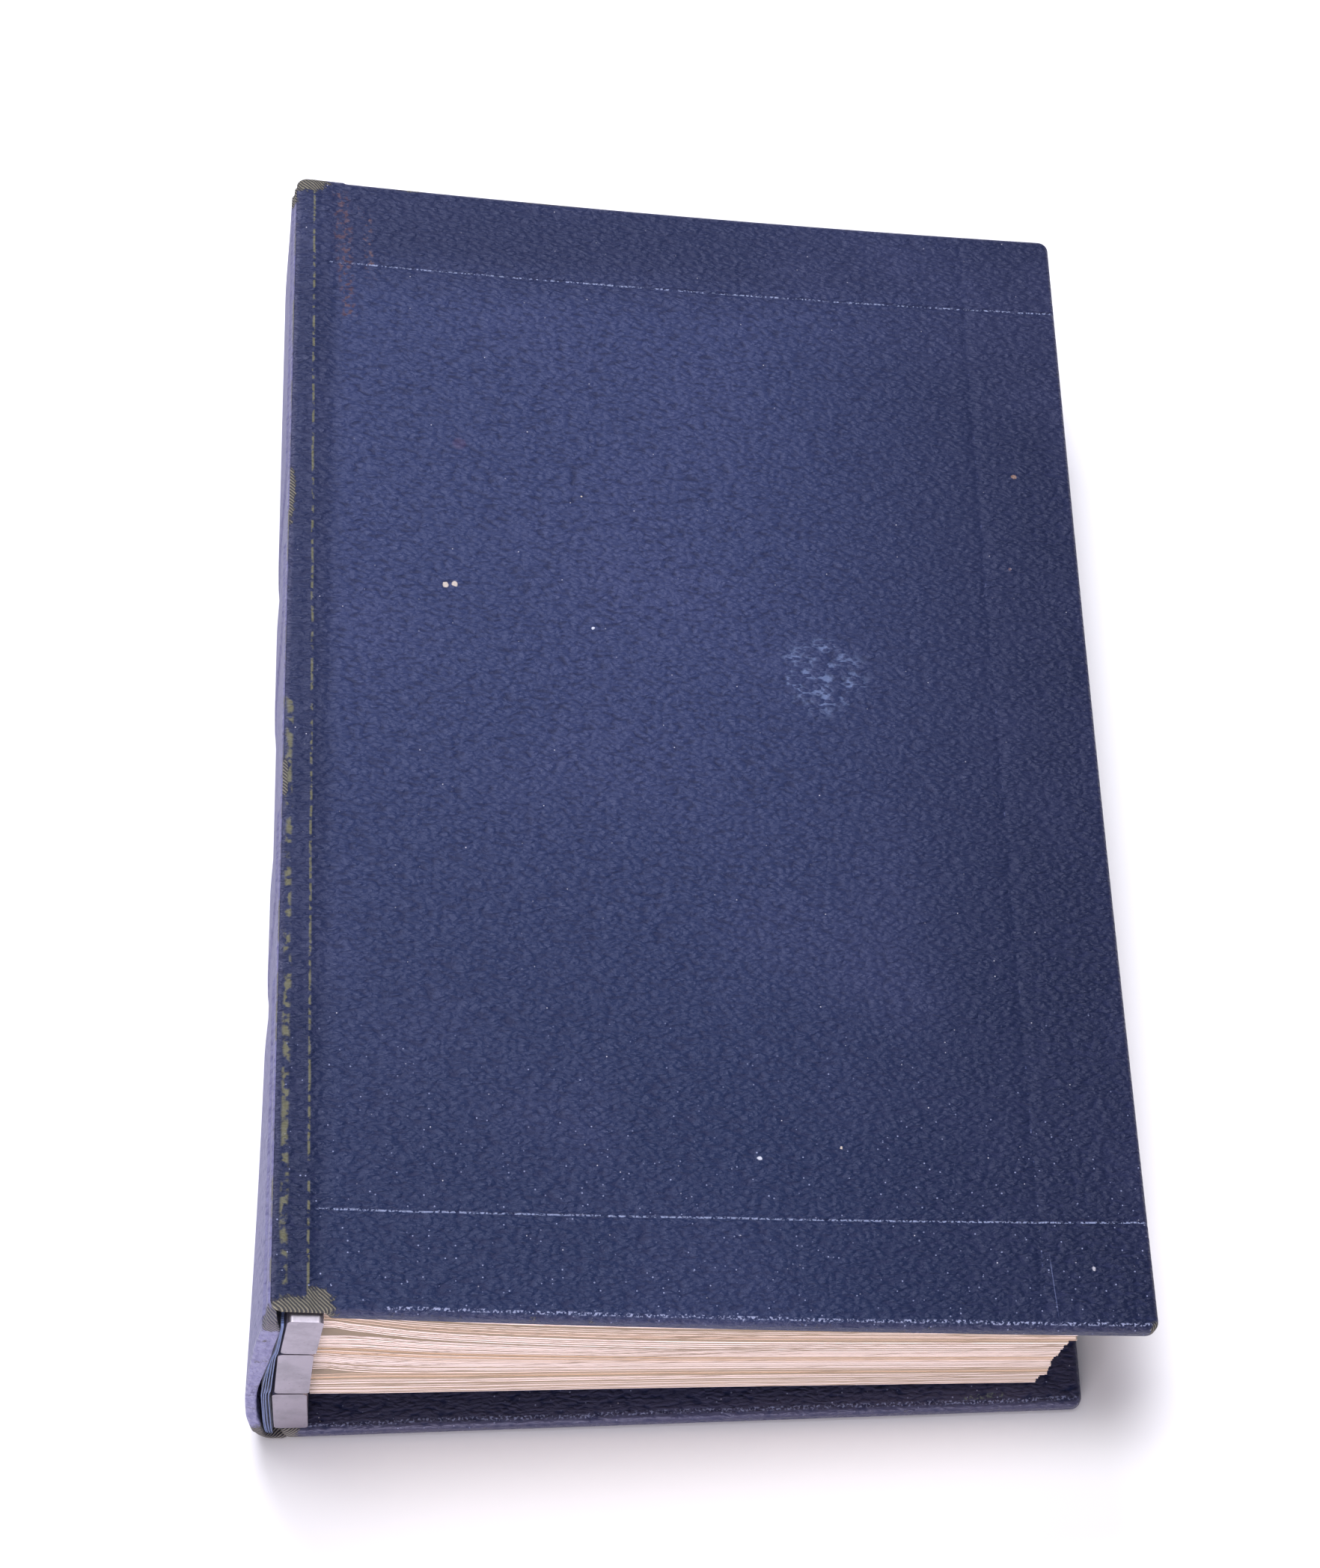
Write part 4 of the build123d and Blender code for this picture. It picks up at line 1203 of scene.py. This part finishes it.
@dataclass
class LinenPlies:
    """Four plies of woven tape down the back of the bars, fanned out at the tail."""

    count: int = 4
    tail: float = 0.9
    head: float = 299.1
    split_z: float = 40.5
    ply: float = 0.28
    pitch: float = 0.25
    glue: float = 0.12
    backs: tuple[Point, ...] = (
        (5.1, 1.4), (5.2, 5.0), (5.9, 14.0), (6.75, 26.5), (7.6, 30.0), (8.8, 39.5), (10.2, 50.5),
        (11.2, 55.0), (13.6, 69.8),
    )
    fanned: tuple[Point, ...] = (
        (3.3, 0.9), (3.0, 5.0), (3.3, 14.0), (4.3, 26.5), (4.9, 30.0), (6.5, 39.5), (8.7, 50.5),
        (10.0, 55.0), (12.8, 69.8),
    )
    fan_reach: float = 26.0

    def surface_of(self, number: int) -> Callable[[Array, Array, Array], Array]:
        """How one ply is bent, counted from the bars outwards.

        Args:
            number: The ply's number.

        Returns:
            A function from distances up, across and in to album points.
        """
        def place(up: Array, across: Array, depth: Array) -> Array:
            """Album points of one ply."""
            z = up
            tight = height_at([(z0, x0) for x0, z0 in self.backs],
                z) - self.glue - self.pitch * (number + 1)
            free = height_at([(z0, x0) for x0, z0 in self.fanned], z)
            share = (number + 1) / self.count
            loose = np.exp(-(across / self.fan_reach)) * share
            ripple = 0.10 * np.sin(z / 6.0 + 1.7 * number) * np.exp(-(across / 9.0)) * share
            x = tight + (free - tight) * loose + ripple + depth
            return np.stack([x, across + self.tail, z], -1)

        return place

    def build(self, album: AlbumPlace) -> None:
        """Make both halves of each ply along the back of the bars, and hide the imported plies."""
        tape = WovenLinen("linen_tape_plain_woven")
        length = self.head - self.tail
        spans = {
            Half.LOWER: (1.3, self.split_z, "base", "middle_section", 24.5, 31.5),
            Half.UPPER: (self.split_z, 70.6, "middle_section", "upper_section", 49.5, 56.5),
        }
        for number in range(self.count):
            bend = self.surface_of(number)
            for half, (low, high, below, above, start_z, end_z) in spans.items():
                strip = Slab(
                    f"linen_ply_{number + 1}_{half.value}", high - low, length, 0.3, 0.1,
                    lambda u, v, d, bend=bend, low=low: bend(u + low, v, d), lambda u,
                    v: self.ply * 0.8 + 0 * u,
                    (tape,), step_u=1.6, step_v=6.0, extra_v=list(np.arange(0.5, 30.0, 1.5)), arc_steps=2,
                ).build(album)
                if number == 0 and half is Half.LOWER:
                    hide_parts("bottom_linen_plies")
                if number == 0 and half is Half.UPPER:
                    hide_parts("middle_linen_plies", "top_linen_plies")
                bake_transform(strip)


@dataclass
class LeafSection:
    """One section of leaves, each leaf its own sheet of paper."""

    name: str
    body: str
    node: str
    count: int
    low: tuple[Point, ...]
    top: tuple[Point, ...]
    seed: int
    tail: float = 5.5
    head: float = 294.5
    fill: float = 0.62
    bar_faces: tuple[Point, ...] = (
        (14.0, 13.9), (27.2, 14.8), (28.5, 15.4), (52.0, 18.4), (53.5, 18.9), (72.0, 22.1),
    )
    ends: tuple[Point, ...] = (
        (4.5, 178.4), (9.7, 179.6), (10.4, 181.0), (21.6, 181.1), (22.0, 181.9), (30.4, 183.6),
        (30.9, 185.4), (44.0, 185.6),
    )
    edge_stations: tuple[float, ...] = (0.0, 1.0, 3.0, 8.0, 25.0, 60.0, 100.0, 140.0)

    def build(self, album: AlbumPlace) -> None:
        """Make the leaves as one mesh that rides its body."""
        chance = np.random.default_rng(SEED + self.seed)
        half = self.edge_stations
        length = self.head - self.tail
        across = np.array([*half, *(length - y for y in reversed(half))]) / length
        along = np.concatenate([np.linspace(0, 0.25, 14), np.linspace(0.25, 1, 19)[1:]])
        points, rests, tones, pages, faces = [], [], [], [], []
        base = 0
        group_tone = 0.2
        for leaf in range(self.count):
            if chance.random() < 0.35:
                group_tone = chance.choice([0.0, 0.1, 0.25, 0.55, 0.9], p=[0.4, 0.25, 0.15, 0.1, 0.1])
            share = (leaf + 0.5) / self.count
            z_start = self.low[0][1] + (self.top[0][1] - self.low[0][1]) * share
            start = float(np.interp(z_start, *zip(*self.bar_faces)))
            z_end = self.low[-1][1] + (self.top[-1][1] - self.low[-1][1]) * share
            end = float(np.interp(z_end, *zip(*self.ends))) + chance.normal(0, 0.22)
            x = start + (end - start) * along
            low_z, top_z = height_at(self.low, x), height_at(self.top, x)
            pitch = (top_z - low_z) / self.count
            middle = low_z + (top_z - low_z) * share
            sunken = chance.uniform(0.8, 2.2) if chance.random() < 0.2 else 0.0
            trim_tail = self.tail + abs(chance.normal(0, 0.22)) - 0.1 + sunken
            trim_head = self.head - abs(chance.normal(0, 0.22)) + 0.1
            y = trim_tail + (trim_head - trim_tail) * across
            grid_x, grid_y = np.meshgrid(x, y, indexing="ij")
            phase, lift = chance.uniform(0, 6.28), chance.normal(0, 0.16)
            wave = 0.5 * (1 - self.fill) * pitch[:, None] * np.sin(grid_x / 37 + grid_y / 41 + phase)
            droop = lift * pitch[:, None] * np.exp(-np.minimum(grid_y - self.tail, self.head - grid_y) / 6)
            z = middle[:, None] + wave + droop
            thick = 0.5 * self.fill * pitch[:, None] * chance.uniform(0.82, 1.08)
            for height in (z + thick, z - thick):
                layer = np.stack([grid_x, grid_y, height], -1).reshape(-1, 3)
                points.append(layer)
                rests.append(layer)
            nx, ny = grid_x.shape
            index = np.arange(nx * ny).reshape(nx, ny)
            quads = grid_quads(index)
            loop = np.concatenate([index[:, 0], index[-1, 1:], index[-2::-1, -1], index[0, -2:0:-1]])
            under = loop + nx * ny
            rim = np.stack([loop, under, np.roll(under, -1), np.roll(loop, -1)], -1)
            faces.extend([base + quads, base + nx * ny + quads[:, ::-1], base + rim])
            pages.extend([np.ones(len(quads)), np.ones(len(quads)), np.zeros(len(rim))])
            tone = np.clip(group_tone + chance.normal(0, 0.12), 0, 1)
            tones.append(np.full(2 * nx * ny, tone))
            base += 2 * nx * ny
        points = np.concatenate(points)
        leaves = mesh_piece(
            self.name, album.metres(points), np.concatenate(faces).tolist(),
            {"tone": np.concatenate(tones)},
            np.concatenate(rests) * MM, (LeafEdges("album_paper_cut_edges"),
            LeafFace("album_paper_ruled_faces")),
            np.concatenate(pages), sharp=35.0,
        )
        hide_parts(self.node)
        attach(leaves, self.body)


def leaf_sections() -> list[LeafSection]:
    """The four sections, from the bottom of the pile to the top."""
    return [
        LeafSection(
            "lower_album_leaves", "base", "lower_leaves", 26,
            ((15.3, 14.2), (28.0, 13.0), (50.0, 12.0), (100.0, 9.6), (178.0, 4.8)),
            ((15.3, 25.6), (28.0, 25.4), (50.0, 23.4), (100.0, 20.4), (180.0, 13.8)), 1),
        LeafSection(
            "middle_album_leaves", "middle_section", "middle_leaves", 38,
            ((18.6, 30.0), (28.0, 26.4), (50.0, 23.9), (100.0, 20.8), (180.4, 14.2)),
            ((18.6, 50.8), (28.0, 49.6), (50.0, 43.0), (100.0, 34.0), (182.2, 25.6)), 2),
        LeafSection(
            "upper_album_leaves", "upper_section", "upper_leaves", 26,
            ((22.0, 55.8), (28.0, 52.4), (50.0, 44.2), (100.0, 34.8), (182.6, 26.2)),
            ((22.0, 66.2), (28.0, 63.4), (50.0, 55.4), (100.0, 46.6), (185.0, 36.8)), 3),
        LeafSection(
            "front_album_leaves", "turning_leaves", "front_leaves", 7,
            ((22.4, 66.7), (28.0, 63.9), (50.0, 55.8), (100.0, 47.0), (185.2, 37.2)),
            ((22.4, 67.7), (28.0, 66.0), (50.0, 59.2), (100.0, 50.4), (185.8, 40.8)), 4),
    ]


@dataclass
class BarBack:
    """The metal back: three channels with end blocks, posts, screws, guards and packing strips."""

    block_bevel: float = 0.7
    rail_bevel: float = 0.15

    def soften(self, node: bpy.types.Object, width: float) -> None:
        """Break a metal piece's sharp corners, as tumbling and handling do."""
        bevel = node.modifiers.new("broken_edges", "BEVEL")
        bevel.width = width * MM
        bevel.segments = 3
        bevel.limit_method = "ANGLE"
        bevel.angle_limit = math.radians(40)
        bevel.harden_normals = False

    def dress(self) -> None:
        """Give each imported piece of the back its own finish."""
        rail = DulledAluminium("aluminium_bars_drawn")
        block = DulledAluminium("aluminium_blocks_sawn", base="#aaa3b0", brushed=(2.0, 2.0, 2.0))
        steel = DulledAluminium("steel_posts_turned", base="#9c9ba1", smear="#77767c", roughness=0.32)
        guards = FibrousStock("guards_linen_faced", "#b8a389", "#6f5f4d")
        strips = FibrousStock("packing_strips_pulp_board", "#8f8576", "#6a6256", 0.8)
        finishes = {
            "bar_channel": rail, "bar_end_blocks": block, "bar_posts": steel, "bar_screws": steel,
            "leaf_stubs": guards, "bar_packing_strips": strips,
        }
        for name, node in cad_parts.items():
            for ending, finish in finishes.items():
                if name.endswith(ending):
                    self.coat(node, finish)
                    if ending == "bar_end_blocks":
                        self.soften(node, self.block_bevel)
                    if ending == "bar_channel":
                        self.soften(node, self.rail_bevel)

    def coat(self, node: bpy.types.Object, finish: Finish) -> None:
        """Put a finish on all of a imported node."""
        if not node.material_slots:
            node.data.materials.append(None)
        for place in node.material_slots:
            place.material = finish.material()
        log.info("%s finished as %s", node.name, finish.name)


# --- the studio -------------------------------------------------------------------------------------------


@dataclass
class Studio:
    """Camera, plain floor and soft light."""

    focal_mm: float = 80.85
    sensor_mm: float = 36.0
    shift_x: float = -0.0922
    shift_y: float = 0.0187
    stand: tuple[float, float, float] = (82.16, -263.993, 774.912)
    yaw: float = 0.1211
    pitch: float = 1.0684
    roll: float = 0.081
    floor_size: float = 12.0
    floor_gap: float = 0.0004    # metres below the album, so that the two faces don't fight
    sky_strength: float = 0.24

    def aim(self, album: AlbumPlace) -> None:
        """Set the camera up over the tail of the album."""
        forward = Vector((
            math.sin(self.yaw) * math.cos(self.pitch), math.cos(self.yaw) * math.cos(self.pitch),
            -math.sin(self.pitch)))
        level_right = Vector((math.cos(self.yaw), -math.sin(self.yaw), 0.0))
        level_up = level_right.cross(forward)
        right = math.cos(self.roll) * level_right + math.sin(self.roll) * level_up
        up = -math.sin(self.roll) * level_right + math.cos(self.roll) * level_up
        data = bpy.data.cameras.new("camera")
        data.sensor_fit = "VERTICAL"
        data.sensor_width = self.sensor_mm
        data.sensor_height = self.sensor_mm
        data.lens = self.focal_mm
        data.shift_x = self.shift_x
        data.shift_y = self.shift_y
        data.clip_start = 0.01
        data.clip_end = 50.0
        camera = bpy.data.objects.new("camera", data)
        turned = Matrix((right, up, -forward)).transposed().to_4x4()
        camera.matrix_world = Matrix.Translation(album.point(*self.stand)) @ turned
        bpy.context.scene.collection.objects.link(camera)
        bpy.context.scene.camera = camera

    def lamp(
        self, name: str, place: tuple[float, float, float], size: tuple[float, float], watts: float,
        colour: str
    ) -> None:
        """Hang one softbox, facing the album.

        Args:
            name: The lamp's name.
            place: Where it hangs, in frame metres.
            size: Width and height in metres.
            watts: Its power.
            colour: Its colour.
        """
        data = bpy.data.lights.new(name, "AREA")
        data.shape = "RECTANGLE"
        data.size, data.size_y = size
        data.energy = watts
        data.color = linear(colour)[:3]
        box = bpy.data.objects.new(name, data)
        box.location = place
        box.rotation_euler = (-Vector(place)).to_track_quat("-Z", "Y").to_euler()
        bpy.context.scene.collection.objects.link(box)

    def build(self) -> None:
        """Lay the floor and hang the lights."""
        scene = bpy.context.scene
        world = bpy.data.worlds.new("studio")
        world.use_nodes = True
        sky = world.node_tree.nodes["Background"]
        sky.inputs["Color"].default_value = linear("#f4f4ff")
        sky.inputs["Strength"].default_value = self.sky_strength
        scene.world = world
        scene.view_settings.view_transform = "Standard"
        half = self.floor_size / 2
        mesh = bpy.data.meshes.new("floor")
        mesh.from_pydata([(-half, -half, 0), (half, -half, 0), (half, half, 0), (-half, half, 0)], [],
            [(0, 1, 2, 3)])
        mesh.materials.append(StudioFloor("seamless_paper_matt").material())
        floor = bpy.data.objects.new("floor", mesh)
        floor.location.z = -self.floor_gap
        scene.collection.objects.link(floor)
        self.lamp("head_softbox", (-0.15, 1.05, 1.25), (0.9, 0.6), 20.0, "#f3f2ff")
        self.lamp("tail_softbox", (-0.25, -1.25, 0.34), (1.0, 0.4), 14.5, "#fdf3f8")
        self.lamp("top_softbox", (-0.1, 0.15, 1.65), (0.7, 0.7), 22.0, "#ffffff")


def main() -> None:
    """Build the album round its frame and report each piece."""
    logging.basicConfig(level=logging.INFO, format="%(name)s: %(message)s")
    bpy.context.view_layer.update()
    studio = Studio()
    album = AlbumPlace.from_frame(BackCover.right)
    studio.aim(album)
    studio.build()
    FrontCover().build(album)
    BackCover().build(album)
    Spine().build(album)
    LinenPlies().build(album)
    for section in leaf_sections():
        section.build(album)
    BarBack().dress()


if __name__ == "__main__":
    main()
